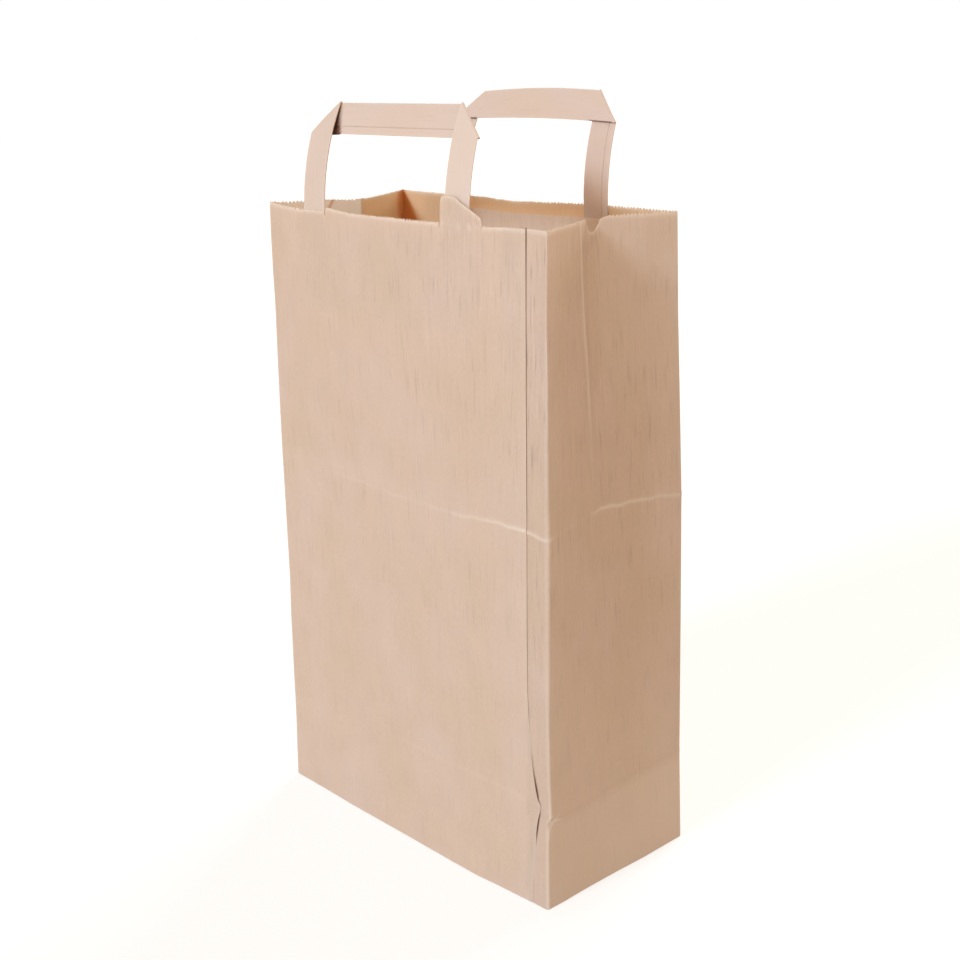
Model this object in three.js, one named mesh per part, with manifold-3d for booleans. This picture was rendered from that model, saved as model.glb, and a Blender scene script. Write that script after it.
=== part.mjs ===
// A block-bottom paper carrier bag that stands open and empty.
// The bag is one folded and glued sheet. Two flat handles, each one strip folded over at 45 degrees at its
// two upper corners, are glued to the inside of the wide panels, under a paper patch each.
// Millimetres, +Z up. X runs along the wide panels, the front panel faces -Y, and the origin is the middle
// of the base, on the surface that the bag stands on.

import * as THREE from 'three';
import { mergeVertices } from 'three/addons/utils/BufferGeometryUtils.js';
import Module from 'manifold-3d';

const wasm = await Module();
wasm.setup();

// Paper
const PAPER = 0.25; // one ply of kraft paper, with its slight cockle
const GLUE = 0.1; // glue line between two papers

// Folded tube
const PANEL_WIDTH = 220; // front and back panel, fold to fold
const BAG_DEPTH = 108; // each side gusset, fold to fold
const PANEL_HEIGHT = 357; // base fold to cut rim, along the paper
const GUSSET_PUSH = 20; // how far the middle crease of each gusset leans in at the rim
const RIM_SLIDE = 2.5; // the front rim sits this far to the right, the back rim as far to the left
const BOW_LEFT = 9.5; // how far the stiff patched zone of the front rim stands out, at its left edge
const BOW_RIGHT = 4.5; // and at its right edge
const BACK_DENT = 9; // how far the middle of the back rim leans in, between the legs of its handle

// Creases left from packing the bag flat
const MID_FOLD = 206; // height of the fold at half length
const MID_RIDGE = 1.5; // how far its ridge stands out
const BASE_CREASE = 58; // height of the fold of the bottom, on the wide panels and corners
const GUSSET_CREASE = 48; // the same fold where it meets the gusset's middle crease
const BASE_RIDGE = 0.7; // how far its ridge stands out
const CORNER_KNUCKLE = 2; // the crumpled front right corner stands out further at the base crease

// Glued seam along the front panel, the outer ply ending near the right corner
const SEAM_FROM_CORNER = 12;
const SEAM_LAP = 16; // overlap of the two plies
const SEAM_STEP = 0.3; // width over which the outer ply's edge drops to the ply below

// Rim, cut with a toothed knife
const TOOTH_PITCH = 2.2;
const TOOTH_DEPTH = 1;
const RIM_BAND = 14; // plain band of wall under the teeth

// Cuts in the rim
const SLIT_WIDTH = 1;
const SLIT_DEPTH = 3.5;
const TAB_WIDTH = 29.5; // tongue of the front panel that stands before the right handle leg
const TAB_RISE = 13;
const TAB_CREST = 12; // from its slit to where its top starts to slope down
const TAB_ROUND = 3.5; // its upper left corner
const TAB_LOBE = 4.8; // height of its rounded right end
const TAB_LEAD = 3.3; // the tongue starts this far before the leg's inner edge
const EAR_WIDTH = 17; // low ear beside the left handle leg
const EAR_RISE = 2.4;
const EAR_INSET = 2; // from the leg's inner edge to the ear
const NOTCH_WIDTH = 10.5; // thumb notch in the right gusset, beside its middle crease
const NOTCH_DEPTH = 7;
const NOTCH_INSET = 0.4; // from the crease

// Handles
const STRIP_WIDTH = 17.5;
const STRIP = 0.4; // pressed strip of several plies
const LAP_PLY = 0.15; // the strip's last ply
const LAP_EDGE = 0.28; // where that ply ends, as a share of the width from the leg's outer edge
const HANDLE_SPAN = 129; // over both legs
const HANDLE_RISE = 60.3; // bend line to the top of the crossbar, along the strip
const HANDLE_GLUED = 40; // length of leg below its bend line
const FOLD_RADIUS = 0.65; // of the pressed 45 degree folds
const FOLD_OPEN = 2.6; // radius of the front left fold, at its lower end, which has sprung open
const HANDLE_SHIFT = 0.5; // the front handle's bend line is this far below the rim, the back one's above it
const FRONT_LEAN_LEFT = 28; // degrees at the top, in over the mouth, at the left leg seen from outside
const FRONT_LEAN_RIGHT = 25; // degrees, at its right leg
const BACK_LEAN_LEFT = -27; // degrees at the top, out over the rim
const BACK_LEAN_RIGHT = -38; // degrees, at its right leg
const BACK_ARCH = 1.6; // the back crossbar bows up in its middle
const FRONT_HANDLE_OFF = -3.2; // middle of the handle from the middle of the front panel, seen from outside
const BACK_HANDLE_OFF = 2.8; // and from the middle of the back panel

// Patches over the handle legs
const PATCH_MARGIN = 6; // past the legs on each side
const PATCH_HEIGHT = 46;
const PATCH_DROP = 7; // below the rim
const PATCH_JOG = 1.5; // width of the step where the patch climbs onto a leg
const LEG_CLEARANCE = 0.2; // between that step and the leg's edge

// Block bottom
const FLAP_OVERLAP = 12; // the front flap's edge, past the middle of the base
const FLAP_LINE = 0.8; // width of the sunk line along a flap's edge
const FLAP_CORNER = 3; // the lines end this far short of the corners

// Paper colours
const KRAFT = 0xd8bca4;
const KRAFT_LIGHT = 0xe2cdbd;
const KRAFT_ROUGHNESS = 0.9;

const HALF_WIDTH = PANEL_WIDTH / 2;
const HALF_DEPTH = BAG_DEPTH / 2;
const HALF_SPAN = HANDLE_SPAN / 2;
const FRONT_HANDLE_AT = HALF_WIDTH + FRONT_HANDLE_OFF;
const BACK_HANDLE_AT = HALF_WIDTH + BACK_HANDLE_OFF;
const SEAM = PANEL_WIDTH - SEAM_FROM_CORNER;
const PATCH_HALF = HALF_SPAN + PATCH_MARGIN;
const STIFF_LINE = PANEL_HEIGHT - PATCH_DROP - PATCH_HEIGHT;
const DENT_HALF = HALF_SPAN - STRIP_WIDTH - LEG_CLEARANCE - PATCH_JOG;

// The panels in order round the tube, counter-clockwise from above, from the front left corner
const PANEL_LENGTHS = [PANEL_WIDTH, HALF_DEPTH, HALF_DEPTH, PANEL_WIDTH, HALF_DEPTH, HALF_DEPTH];
const PANEL_COUNT = PANEL_LENGTHS.length;
const [FRONT, RIGHT_NEAR, RIGHT_FAR, BACK, LEFT_FAR, LEFT_NEAR] = PANEL_LENGTHS.keys();
const { lerp, clamp } = THREE.MathUtils;

// Plan position of each panel's first corner, with the gusset creases pushed in
function planCorners(push, slide) {
  const half = Math.sqrt(HALF_DEPTH ** 2 - push ** 2);
  return [
    new THREE.Vector2(-HALF_WIDTH + slide, -half),
    new THREE.Vector2(HALF_WIDTH + slide, -half),
    new THREE.Vector2(HALF_WIDTH - push, 0),
    new THREE.Vector2(HALF_WIDTH - slide, half),
    new THREE.Vector2(-HALF_WIDTH - slide, half),
    new THREE.Vector2(-HALF_WIDTH + push, 0),
  ];
}

const FEET = planCorners(0, 0);

// A fold line at a height measured along the paper: it keeps its length as it leans
function cornerAt(corner, height) {
  const share = height / PANEL_HEIGHT;
  const plan = planCorners(GUSSET_PUSH * share, RIM_SLIDE * share)[corner];
  const run = plan.distanceTo(FEET[corner]);
  return new THREE.Vector3(plan.x, plan.y, Math.sqrt(height ** 2 - run ** 2));
}

function panelNormal(panel, height) {
  const start = cornerAt(panel, height);
  const end = cornerAt((panel + 1) % PANEL_COUNT, height);
  return new THREE.Vector3(end.y - start.y, start.x - end.x, 0).normalize();
}

// Outward direction of the wall, mitred where two panels meet
function wallNormal(stop, height) {
  const own = panelNormal(stop.panel, height);
  if (stop.along > 0) return own;
  const other = panelNormal((stop.panel + PANEL_COUNT - 1) % PANEL_COUNT, height);
  const scale = 1 / (1 + own.dot(other));
  return own.add(other).multiplyScalar(scale);
}

// The stiff patched zone of the front rim stands out flat, and the paper beside it bends
function frontBow(along) {
  const left = FRONT_HANDLE_AT - PATCH_HALF;
  const right = FRONT_HANDLE_AT + PATCH_HALF;
  if (along < left) return BOW_LEFT * along / left;
  if (along < right) return lerp(BOW_LEFT, BOW_RIGHT, (along - left) / (right - left));
  return BOW_RIGHT * (PANEL_WIDTH - along) / (PANEL_WIDTH - right);
}

// The back rim leans in between the legs of its handle
function backDent(along) {
  return BACK_DENT * Math.max(1 - Math.abs(along - BACK_HANDLE_AT) / DENT_HALF, 0);
}

// How far a wide panel stands out of its plane: nothing below the middle fold, all of it from the patch up
function panelBow({ panel, along }, height) {
  const rise = clamp((height - MID_FOLD) / (STIFF_LINE - MID_FOLD), 0, 1);
  if (panel === FRONT) return rise * frontBow(along);
  if (panel === BACK) return -rise * backDent(along);
  return 0;
}

// A point of the sheet: a panel, a distance along it, a height along the paper and a distance outwards
function onSheet(stop, height, out) {
  const start = cornerAt(stop.panel, height);
  const end = cornerAt((stop.panel + 1) % PANEL_COUNT, height);
  const point = start.lerp(end, stop.along / PANEL_LENGTHS[stop.panel]);
  return point.addScaledVector(wallNormal(stop, height), out + panelBow(stop, height));
}

// The seam: past the outer ply's edge the wall steps back by one ply, and climbs again to the corner
function outerFace(stop) {
  if (stop.panel !== FRONT || stop.along <= SEAM) return 0;
  const fromCorner = PANEL_WIDTH - stop.along;
  return -PAPER * fromCorner / (SEAM_FROM_CORNER - SEAM_STEP);
}

function innerFace(stop) {
  if (stop.panel !== FRONT || stop.along < SEAM - SEAM_LAP) return -PAPER;
  if (stop.along <= SEAM) return -2 * PAPER;
  return outerFace(stop) - PAPER;
}

function baseCreaseHeight(stop) {
  const share = stop.along / PANEL_LENGTHS[stop.panel];
  if (stop.panel === RIGHT_NEAR || stop.panel === LEFT_FAR) return lerp(BASE_CREASE, GUSSET_CREASE, share);
  if (stop.panel === RIGHT_FAR || stop.panel === LEFT_NEAR) return lerp(GUSSET_CREASE, BASE_CREASE, share);
  return BASE_CREASE;
}

function baseCreaseOut(stop) {
  const knuckle = stop.panel === RIGHT_NEAR && stop.along === 0;
  return BASE_RIDGE + (knuckle ? CORNER_KNUCKLE : 0);
}

// Where the wall has its vertical lines of points, panel by panel
function wallStops() {
  const patchLeft = FRONT_HANDLE_AT - PATCH_HALF;
  const patchRight = FRONT_HANDLE_AT + PATCH_HALF;
  const seamLines = [SEAM - SEAM_LAP, SEAM - SEAM_LAP + SEAM_STEP, SEAM, SEAM + SEAM_STEP];
  const front = [0, patchLeft, FRONT_HANDLE_AT, patchRight, ...seamLines];
  const back = [0, BACK_HANDLE_AT - DENT_HALF, BACK_HANDLE_AT, BACK_HANDLE_AT + DENT_HALF];
  const gusset = [0, HALF_DEPTH / 2];
  const perPanel = [front, gusset, gusset, back, gusset, gusset];
  return perPanel.flatMap((lines, panel) => lines.map((along) => ({ panel, along })));
}

// Outlines of the cuts in the rim, as curves over the distance along the panel
function tabOutline(left) {
  const right = left + TAB_WIDTH;
  const path = new THREE.Path();
  path.moveTo(left - SLIT_WIDTH, 0);
  path.lineTo(left - SLIT_WIDTH / 2, -SLIT_DEPTH);
  path.lineTo(left, 0);
  path.lineTo(left + SLIT_WIDTH / 2, TAB_RISE - TAB_ROUND);
  path.quadraticCurveTo(left + SLIT_WIDTH, TAB_RISE, left + TAB_ROUND, TAB_RISE);
  path.lineTo(left + TAB_CREST, TAB_RISE);
  path.lineTo(right - TAB_LOBE / 2, TAB_LOBE);
  path.quadraticCurveTo(right, 3 * TAB_LOBE / 4, right, TAB_LOBE / 4);
  path.lineTo(right + SLIT_WIDTH / 4, -TOOTH_DEPTH);
  return path;
}

function earOutline(left) {
  const path = new THREE.Path();
  path.moveTo(left - SLIT_WIDTH, 0);
  path.lineTo(left - SLIT_WIDTH / 2, -SLIT_DEPTH);
  path.lineTo(left, 0);
  path.quadraticCurveTo(left + EAR_WIDTH / 32, EAR_RISE, left + EAR_WIDTH / 8, EAR_RISE);
  path.quadraticCurveTo(left + EAR_WIDTH / 3, EAR_RISE, left + EAR_WIDTH, -TOOTH_DEPTH);
  return path;
}

function notchOutline(left) {
  const right = left + NOTCH_WIDTH;
  const path = new THREE.Path();
  path.moveTo(left, -TOOTH_DEPTH);
  path.lineTo(left + NOTCH_WIDTH / 16, -2 * NOTCH_DEPTH / 3);
  path.quadraticCurveTo(left + NOTCH_WIDTH / 8, -NOTCH_DEPTH, left + NOTCH_WIDTH / 3, -NOTCH_DEPTH);
  path.quadraticCurveTo(left + NOTCH_WIDTH / 2, -NOTCH_DEPTH, right, -TOOTH_DEPTH);
  return path;
}

const CUT_STEPS = 6;
const LEFT_LEG_INNER = FRONT_HANDLE_AT - HALF_SPAN + STRIP_WIDTH;
const RIGHT_LEG_INNER = FRONT_HANDLE_AT + HALF_SPAN - STRIP_WIDTH;
const RIM_CUTS = [
  { panel: FRONT, outline: earOutline(LEFT_LEG_INNER + EAR_INSET).getPoints(CUT_STEPS) },
  { panel: FRONT, outline: tabOutline(RIGHT_LEG_INNER - TAB_LEAD).getPoints(CUT_STEPS) },
  { panel: RIGHT_FAR, outline: notchOutline(NOTCH_INSET).getPoints(CUT_STEPS) },
];

// The cut edge: whole teeth on each panel, with the cuts in their places
function rimStops() {
  const stops = [];
  PANEL_LENGTHS.forEach((length, panel) => {
    const teeth = Math.round(length / TOOTH_PITCH);
    const pitch = length / teeth;
    const cuts = RIM_CUTS.filter((cut) => cut.panel === panel);
    const line = [];
    for (let half = 0; half < 2 * teeth; half++) {
      const along = half * pitch / 2;
      const inCut = cuts.some(({ outline }) => along > outline[0].x - TOOTH_DEPTH / 2
        && along < outline.at(-1).x + TOOTH_DEPTH / 2);
      const drop = half % 2 === 0 ? TOOTH_DEPTH : 0;
      if (half === 0 || !inCut) line.push({ panel, along, height: PANEL_HEIGHT - drop });
    }
    for (const { outline } of cuts) {
      line.push(...outline.map((p) => ({ panel, along: p.x, height: PANEL_HEIGHT + p.y })));
    }
    stops.push(...line.sort((a, b) => a.along - b.along));
  });
  return stops;
}

// The band under the rim has a line of points under each point of a cut
function bandStops() {
  const underCuts = RIM_CUTS.flatMap(({ panel, outline }) => outline.map((p) => ({ panel, along: p.x })));
  return [...wallStops(), ...underCuts].sort((a, b) => roundTube(a) - roundTube(b));
}

function roundTube(stop) {
  const before = PANEL_LENGTHS.slice(0, stop.panel).reduce((sum, length) => sum + length, 0);
  return before + stop.along;
}

// Collects points and triangles of one closed solid
class Solid {
  constructor() {
    this.points = [];
    this.faces = [];
  }

  add(points) {
    const first = this.points.length;
    this.points.push(...points);
    return points.map((point, i) => first + i);
  }

  // Joins two closed lines of points, lower and upper, with facing towards the right of their run
  bridge(lower, lowerKeys, upper, upperKeys, flip) {
    let i = 0;
    let j = 0;
    while (i < lower.length || j < upper.length) {
      const a = lower[i % lower.length];
      const b = upper[j % upper.length];
      const nextLower = i < lower.length ? lowerKeys[i + 1] ?? Infinity : Infinity;
      const nextUpper = j < upper.length ? upperKeys[j + 1] ?? Infinity : Infinity;
      const stepLower = j >= upper.length || (i < lower.length && nextLower <= nextUpper);
      const c = stepLower ? lower[++i % lower.length] : upper[++j % upper.length];
      this.faces.push(flip ? [a, b, c] : [a, c, b]);
    }
  }

  cap(loop, outline, flip) {
    for (const [a, b, c] of THREE.ShapeUtils.triangulateShape(outline, [])) {
      this.faces.push(flip ? [loop[a], loop[c], loop[b]] : [loop[a], loop[b], loop[c]]);
    }
  }

  geometry() {
    const geometry = new THREE.BufferGeometry();
    const places = this.points.flatMap((p) => p.toArray());
    geometry.setAttribute('position', new THREE.Float32BufferAttribute(places, 3));
    geometry.setIndex(this.faces.flat());
    return geometry;
  }
}

// The wall of the bag, from the base fold to the toothed rim, as a sleeve of one ply
function bagWall() {
  const stops = wallStops();
  const flat = () => 0;
  const rows = [
    { stops, height: () => 0, out: flat },
    { stops, height: baseCreaseHeight, out: baseCreaseOut },
    { stops, height: () => MID_FOLD, out: () => MID_RIDGE },
    { stops, height: () => STIFF_LINE, out: flat },
    { stops: bandStops(), height: () => PANEL_HEIGHT - RIM_BAND, out: flat },
    { stops: rimStops(), height: (stop) => stop.height, out: flat },
  ];
  const keys = rows.map((row) => row.stops.map(roundTube));
  const last = rows.length - 1;
  const wall = new Solid();
  const line = (row, face) => wall.add(row.stops.map((stop) => (
    onSheet(stop, row.height(stop), row.out(stop) + face(stop))
  )));
  const skin = (footFace, face, flip) => {
    const lines = rows.map((row, i) => line(row, i === 0 ? footFace : face));
    for (let i = 1; i <= last; i++) wall.bridge(lines[i - 1], keys[i - 1], lines[i], keys[i], flip);
    return lines;
  };
  const outer = skin(flat, outerFace, false);
  const inner = skin(() => -PAPER, innerFace, true);
  wall.bridge(outer[last], keys[last], inner[last], keys[last], false);
  wall.bridge(outer[0], keys[0], inner[0], keys[0], true);
  return wall.geometry();
}

function toManifold(geometry) {
  const bare = geometry.clone();
  bare.deleteAttribute('normal');
  bare.deleteAttribute('uv');
  const merged = mergeVertices(bare);
  return new wasm.Manifold(new wasm.Mesh({
    numProp: 3,
    vertProperties: new Float32Array(merged.attributes.position.array),
    triVerts: new Uint32Array(merged.index.array),
  }));
}

function fromManifold(solid) {
  const mesh = solid.getMesh();
  const geometry = new THREE.BufferGeometry();
  geometry.setAttribute('position', new THREE.BufferAttribute(mesh.vertProperties, 3));
  geometry.setIndex(new THREE.BufferAttribute(mesh.triVerts, 1));
  return geometry;
}

// A straight sunk line in the underside, from one plan point to another
function flapLine(from, to) {
  const run = to.clone().sub(from);
  const groove = new THREE.BoxGeometry(run.length(), FLAP_LINE, 2 * PAPER);
  groove.rotateZ(run.angle());
  const middle = from.clone().add(to).multiplyScalar(1 / 2);
  groove.translate(middle.x, middle.y, 0);
  return toManifold(groove);
}

// The block bottom: two plies of folded flaps, the front one lapped over the back one, mitred at the ends
function blockBottom() {
  const floor = new THREE.BoxGeometry(PANEL_WIDTH - PAPER, BAG_DEPTH - PAPER, 2 * PAPER);
  floor.translate(0, 0, PAPER);
  const mitre = HALF_DEPTH + FLAP_OVERLAP;
  const edge = HALF_WIDTH - mitre;
  const lines = [[new THREE.Vector2(-edge, FLAP_OVERLAP), new THREE.Vector2(edge, FLAP_OVERLAP)]];
  for (const side of [-1, 1]) {
    const frontCorner = new THREE.Vector2(side * (HALF_WIDTH - FLAP_CORNER), -HALF_DEPTH + FLAP_CORNER);
    const backCorner = new THREE.Vector2(side * (HALF_WIDTH - FLAP_CORNER), HALF_DEPTH - FLAP_CORNER);
    lines.push([frontCorner, new THREE.Vector2(side * edge, FLAP_OVERLAP)]);
    lines.push([backCorner, new THREE.Vector2(side * (HALF_WIDTH - HALF_DEPTH), 0)]);
  }
  return lines.reduce((solid, [from, to]) => solid.subtract(flapLine(from, to)), toManifold(floor));
}

function bagBody() {
  return fromManifold(toManifold(bagWall()).add(blockBottom()));
}

// A handle in its panel's own frame: x along the panel, y into the bag, z up from the bend line.
// The strip is a run of straight cross lines, from its leg's outer edge to its inner edge, which turns over
// at the diagonal folds: there the crossbar passes to the inner side of the legs.
function foldedHandle(leftLean, rightLean, leftFoldRadius, arch) {
  const low = HANDLE_RISE - STRIP_WIDTH;
  const seat = PAPER + GLUE + STRIP / 2;

  // A strip point from its place across the handle, its height along the curved leg and its layer inwards
  const place = (x, v, layer) => {
    const lean = THREE.MathUtils.degToRad(lerp(leftLean, rightLean, x / HANDLE_SPAN + 1 / 2));
    const half = lean * Math.max(v, 0) / HANDLE_RISE / 2;
    const chord = half === 0 ? v : v * Math.sin(half) / half;
    const inwards = seat + layer;
    return new THREE.Vector3(
      x,
      chord * Math.sin(half) + inwards * Math.cos(2 * half),
      chord * Math.cos(half) - inwards * Math.sin(2 * half),
    );
  };

  // The cross lines of a leg tilt step by step from level to the diagonal of the fold
  const legShares = [0, 1, 2, 3, 4].map((k) => k / 5);
  const legHeights = [
    { outer: -HANDLE_GLUED, inner: -HANDLE_GLUED },
    ...legShares.map((share) => ({ outer: share * low, inner: share * HANDLE_RISE })),
  ];
  const leg = (side) => legHeights.map(({ outer, inner }) => ({
    outer: place(side * HALF_SPAN, outer, 0),
    inner: place(side * (HALF_SPAN - STRIP_WIDTH), inner, 0),
  }));

  // Half turns of the strip round a diagonal fold, from the leg to the crossbar
  const foldTurns = [0, 1, 2, 3, 4].map((k) => k * Math.PI / 4);
  const fold = (side, radius) => foldTurns.map((turn) => {
    const reach = Math.sin(turn) / Math.SQRT2;
    const layer = 1 - Math.cos(turn);
    return {
      outer: place(side * (HALF_SPAN + radius * reach), low + radius * reach, radius * layer),
      inner: place(
        side * (HALF_SPAN - STRIP_WIDTH + FOLD_RADIUS * reach),
        HANDLE_RISE + FOLD_RADIUS * reach,
        FOLD_RADIUS * layer,
      ),
    };
  });

  const barShares = [1, 2, 3, 4, 5].map((k) => k / 6);
  const bar = barShares.map((share) => {
    const lift = arch * Math.sin(Math.PI * share);
    const lowLayer = 2 * lerp(leftFoldRadius, FOLD_RADIUS, share);
    return {
      outer: place(lerp(-HALF_SPAN, HALF_SPAN, share), low + lift, lowLayer),
      inner: place(lerp(-1, 1, share) * (HALF_SPAN - STRIP_WIDTH), HANDLE_RISE + lift, 2 * FOLD_RADIUS),
    };
  });

  const strip = [
    ...leg(-1), ...fold(-1, leftFoldRadius), ...bar, ...fold(1, FOLD_RADIUS).reverse(), ...leg(1).reverse(),
  ];
  return stripSolid(strip);
}

// Gives a run of cross lines the strip's section: flat on one side, with the edge of its last ply on the other
function stripSolid(strip) {
  const half = STRIP / 2;
  const section = [
    [0, -half], [1, -half], [1, half + LAP_PLY], [LAP_EDGE, half + LAP_PLY], [LAP_EDGE, half], [0, half],
  ];
  const middles = strip.map(({ outer, inner }) => outer.clone().add(inner).multiplyScalar(1 / 2));
  const solid = new Solid();
  const loops = strip.map(({ outer, inner }, i) => {
    const before = middles[Math.max(i - 1, 0)];
    const after = middles[Math.min(i + 1, middles.length - 1)];
    const across = inner.clone().sub(outer);
    const normal = after.clone().sub(before).cross(across).normalize();
    return solid.add(section.map(([share, height]) => (
      outer.clone().addScaledVector(across, share).addScaledVector(normal, height)
    )));
  });
  const order = section.map((point, i) => i);
  for (let i = 1; i < loops.length; i++) solid.bridge(loops[i - 1], order, loops[i], order, false);
  const outline = section.map(([share, height]) => new THREE.Vector2(share * STRIP_WIDTH, height));
  solid.cap(loops[0], outline, true);
  solid.cap(loops.at(-1), outline, false);
  return solid.geometry();
}

// A patch: one ply that lies on the panel and climbs over both legs, in its panel's own frame
function patchSheet(dent) {
  const flat = PAPER + GLUE;
  const raised = flat + STRIP + LAP_PLY + GLUE;
  const overLeg = (side) => {
    const edges = [HALF_SPAN, HALF_SPAN - STRIP_WIDTH].map((x) => side * x).sort((a, b) => a - b);
    return [
      [edges[0] - LEG_CLEARANCE - PATCH_JOG, flat], [edges[0] - LEG_CLEARANCE, raised],
      [edges[1] + LEG_CLEARANCE, raised], [edges[1] + LEG_CLEARANCE + PATCH_JOG, flat],
    ];
  };
  const run = [[-PATCH_HALF, flat], ...overLeg(-1), [0, flat + dent], ...overLeg(1), [PATCH_HALF, flat]];
  const near = run.map(([x, y]) => new THREE.Vector2(x, y));
  const far = run.map(([x, y]) => new THREE.Vector2(x, y + PAPER)).reverse();
  const sheet = new THREE.ExtrudeGeometry(new THREE.Shape([...near, ...far]), {
    depth: PATCH_HEIGHT, bevelEnabled: false,
  });
  sheet.translate(0, 0, -PATCH_DROP - PATCH_HEIGHT);
  return sheet;
}

// A group in the plane of a wide panel's patch, with its origin on the rim, midway between the handle's legs
function panelFrame(panel, along) {
  const atLeg = (side, height) => onSheet({ panel, along: along + side * HALF_SPAN }, height, 0);
  const midway = (height) => atLeg(-1, height).lerp(atLeg(1, height), 1 / 2);
  const rim = midway(PANEL_HEIGHT);
  const x = atLeg(1, PANEL_HEIGHT).sub(rim).normalize();
  const y = rim.clone().sub(midway(STIFF_LINE)).cross(x).normalize();
  const z = x.clone().cross(y);
  const group = new THREE.Group();
  group.position.copy(rim);
  group.quaternion.setFromRotationMatrix(new THREE.Matrix4().makeBasis(x, y, z));
  return group;
}

function paperMesh(name, geometry, color) {
  const material = new THREE.MeshStandardMaterial({ color, roughness: KRAFT_ROUGHNESS, metalness: 0 });
  const mesh = new THREE.Mesh(geometry, material);
  mesh.name = name;
  return mesh;
}

const frontHandle = foldedHandle(FRONT_LEAN_LEFT, FRONT_LEAN_RIGHT, FOLD_OPEN, 0);
frontHandle.translate(0, 0, -HANDLE_SHIFT);
const frontFrame = panelFrame(FRONT, FRONT_HANDLE_AT);
frontFrame.add(paperMesh('front_handle', frontHandle, KRAFT_LIGHT));
frontFrame.add(paperMesh('front_patch', patchSheet(0), KRAFT));

const backHandle = foldedHandle(BACK_LEAN_LEFT, BACK_LEAN_RIGHT, FOLD_RADIUS, BACK_ARCH);
backHandle.translate(0, 0, HANDLE_SHIFT);
const backFrame = panelFrame(BACK, BACK_HANDLE_AT);
backFrame.add(paperMesh('back_handle', backHandle, KRAFT_LIGHT));
backFrame.add(paperMesh('back_patch', patchSheet(BACK_DENT), KRAFT));

const bag = new THREE.Group();
bag.add(paperMesh('bag_body', bagBody(), KRAFT), frontFrame, backFrame);

export default bag;
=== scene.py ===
# %% [markdown]
# # A kraft paper carrier bag with flat handles
# One sheet of brown kraft paper is rolled into a tube, glued along an upright seam, folded into two wide
# panels and two gussets, and closed by a folded block bottom. Two flat paper handles are glued inside the
# rim under paper patches. The bag was packed flat, so a middle fold and a base crease run round it. This
# lesson rebuilds the bag the same way: a flat sheet first, then its folds, then its handles.

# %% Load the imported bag
import math

import bpy
import numpy as np
from mathutils import Matrix


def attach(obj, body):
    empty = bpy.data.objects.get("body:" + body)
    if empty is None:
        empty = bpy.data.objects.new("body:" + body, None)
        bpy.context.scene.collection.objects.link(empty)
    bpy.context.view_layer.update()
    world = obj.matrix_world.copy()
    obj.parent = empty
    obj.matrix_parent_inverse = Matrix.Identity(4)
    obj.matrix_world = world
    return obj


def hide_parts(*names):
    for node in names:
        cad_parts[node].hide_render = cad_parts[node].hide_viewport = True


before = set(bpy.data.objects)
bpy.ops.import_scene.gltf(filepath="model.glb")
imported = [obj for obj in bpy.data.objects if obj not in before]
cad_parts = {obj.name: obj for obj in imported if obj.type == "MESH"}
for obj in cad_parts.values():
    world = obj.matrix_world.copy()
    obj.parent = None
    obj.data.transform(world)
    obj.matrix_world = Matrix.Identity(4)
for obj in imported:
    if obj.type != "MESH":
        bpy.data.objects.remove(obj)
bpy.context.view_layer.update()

# %% [markdown]
# The sizes are those of the CAD model, in millimetres, and are measured along the paper, because a fold
# doesn't change them. The wall is a quarter of a millimetre thick, as in the CAD model, which is about
# twice a real ply.

# %% Sizes in millimetres
MM = 0.001
PAPER = 0.25
GLUE = 0.1
PANEL_WIDTH = 220.0
GUSSET_HALF = 54.0
PANEL_HEIGHT = 357.0
GUSSET_PUSH = 20.0
RIM_SLIDE = 2.5
MID_FOLD = 206.0
STIFF_LINE = 304.0
SEAM = 208.0
SEAM_LAP = 16.0
TOOTH_PITCH = 2.2
TOOTH_DEPTH = 1.0
STRIP_WIDTH = 17.5
STRIP = 0.4
LAP_PLY = 0.15
LAP_EDGE = 0.23
HALF_SPAN = 64.5
HANDLE_RISE = 60.3
HANDLE_GLUED = 40.0
PATCH_HALF = 70.5
PATCH_HEIGHT = 46.0
PATCH_DROP = 7.0
FRONT_HANDLE_AT = 106.8
BACK_HANDLE_AT = 112.8

PANEL_LENGTHS = np.array([PANEL_WIDTH, GUSSET_HALF, GUSSET_HALF] * 2)
PANEL_STARTS = np.concatenate([[0.0], np.cumsum(PANEL_LENGTHS)[:-1]])
TUBE = PANEL_LENGTHS.sum()
FRONT, RIGHT_NEAR, RIGHT_FAR, BACK, LEFT_FAR, LEFT_NEAR = range(6)
print("The tube is", TUBE, "mm round and", PANEL_HEIGHT, "mm high")

# %% [markdown]
# A few helpers read and write the points of a mesh as arrays, make a flat grid with chosen columns and
# rows, and give a sheet its thickness. A flat grid is what a paper maker starts from too.

# %% Points and edges of a mesh
def read_points(piece):
    points = np.empty(3 * len(piece.data.vertices), dtype=np.float32)
    piece.data.vertices.foreach_get("co", points)
    return points.reshape(-1, 3).astype(float)


def write_points(piece, points):
    piece.data.vertices.foreach_set("co", points.astype(np.float32).ravel())
    piece.data.update()


def pick_only(piece):
    bpy.ops.object.select_all(action="DESELECT")
    piece.select_set(True)
    bpy.context.view_layer.objects.active = piece


def edit_edges(piece, chosen):
    pick_only(piece)
    bpy.ops.object.mode_set(mode="EDIT")
    bpy.ops.mesh.select_mode(type="EDGE")
    bpy.ops.mesh.select_all(action="DESELECT")
    bpy.ops.object.mode_set(mode="OBJECT")
    for edge in piece.data.edges:
        edge.select = bool(chosen[list(edge.vertices)].all())
    bpy.ops.object.mode_set(mode="EDIT")


def face_outwards(piece):
    pick_only(piece)
    bpy.ops.object.mode_set(mode="EDIT")
    bpy.ops.mesh.select_all(action="SELECT")
    bpy.ops.mesh.normals_make_consistent(inside=False)
    bpy.ops.object.mode_set(mode="OBJECT")


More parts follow.
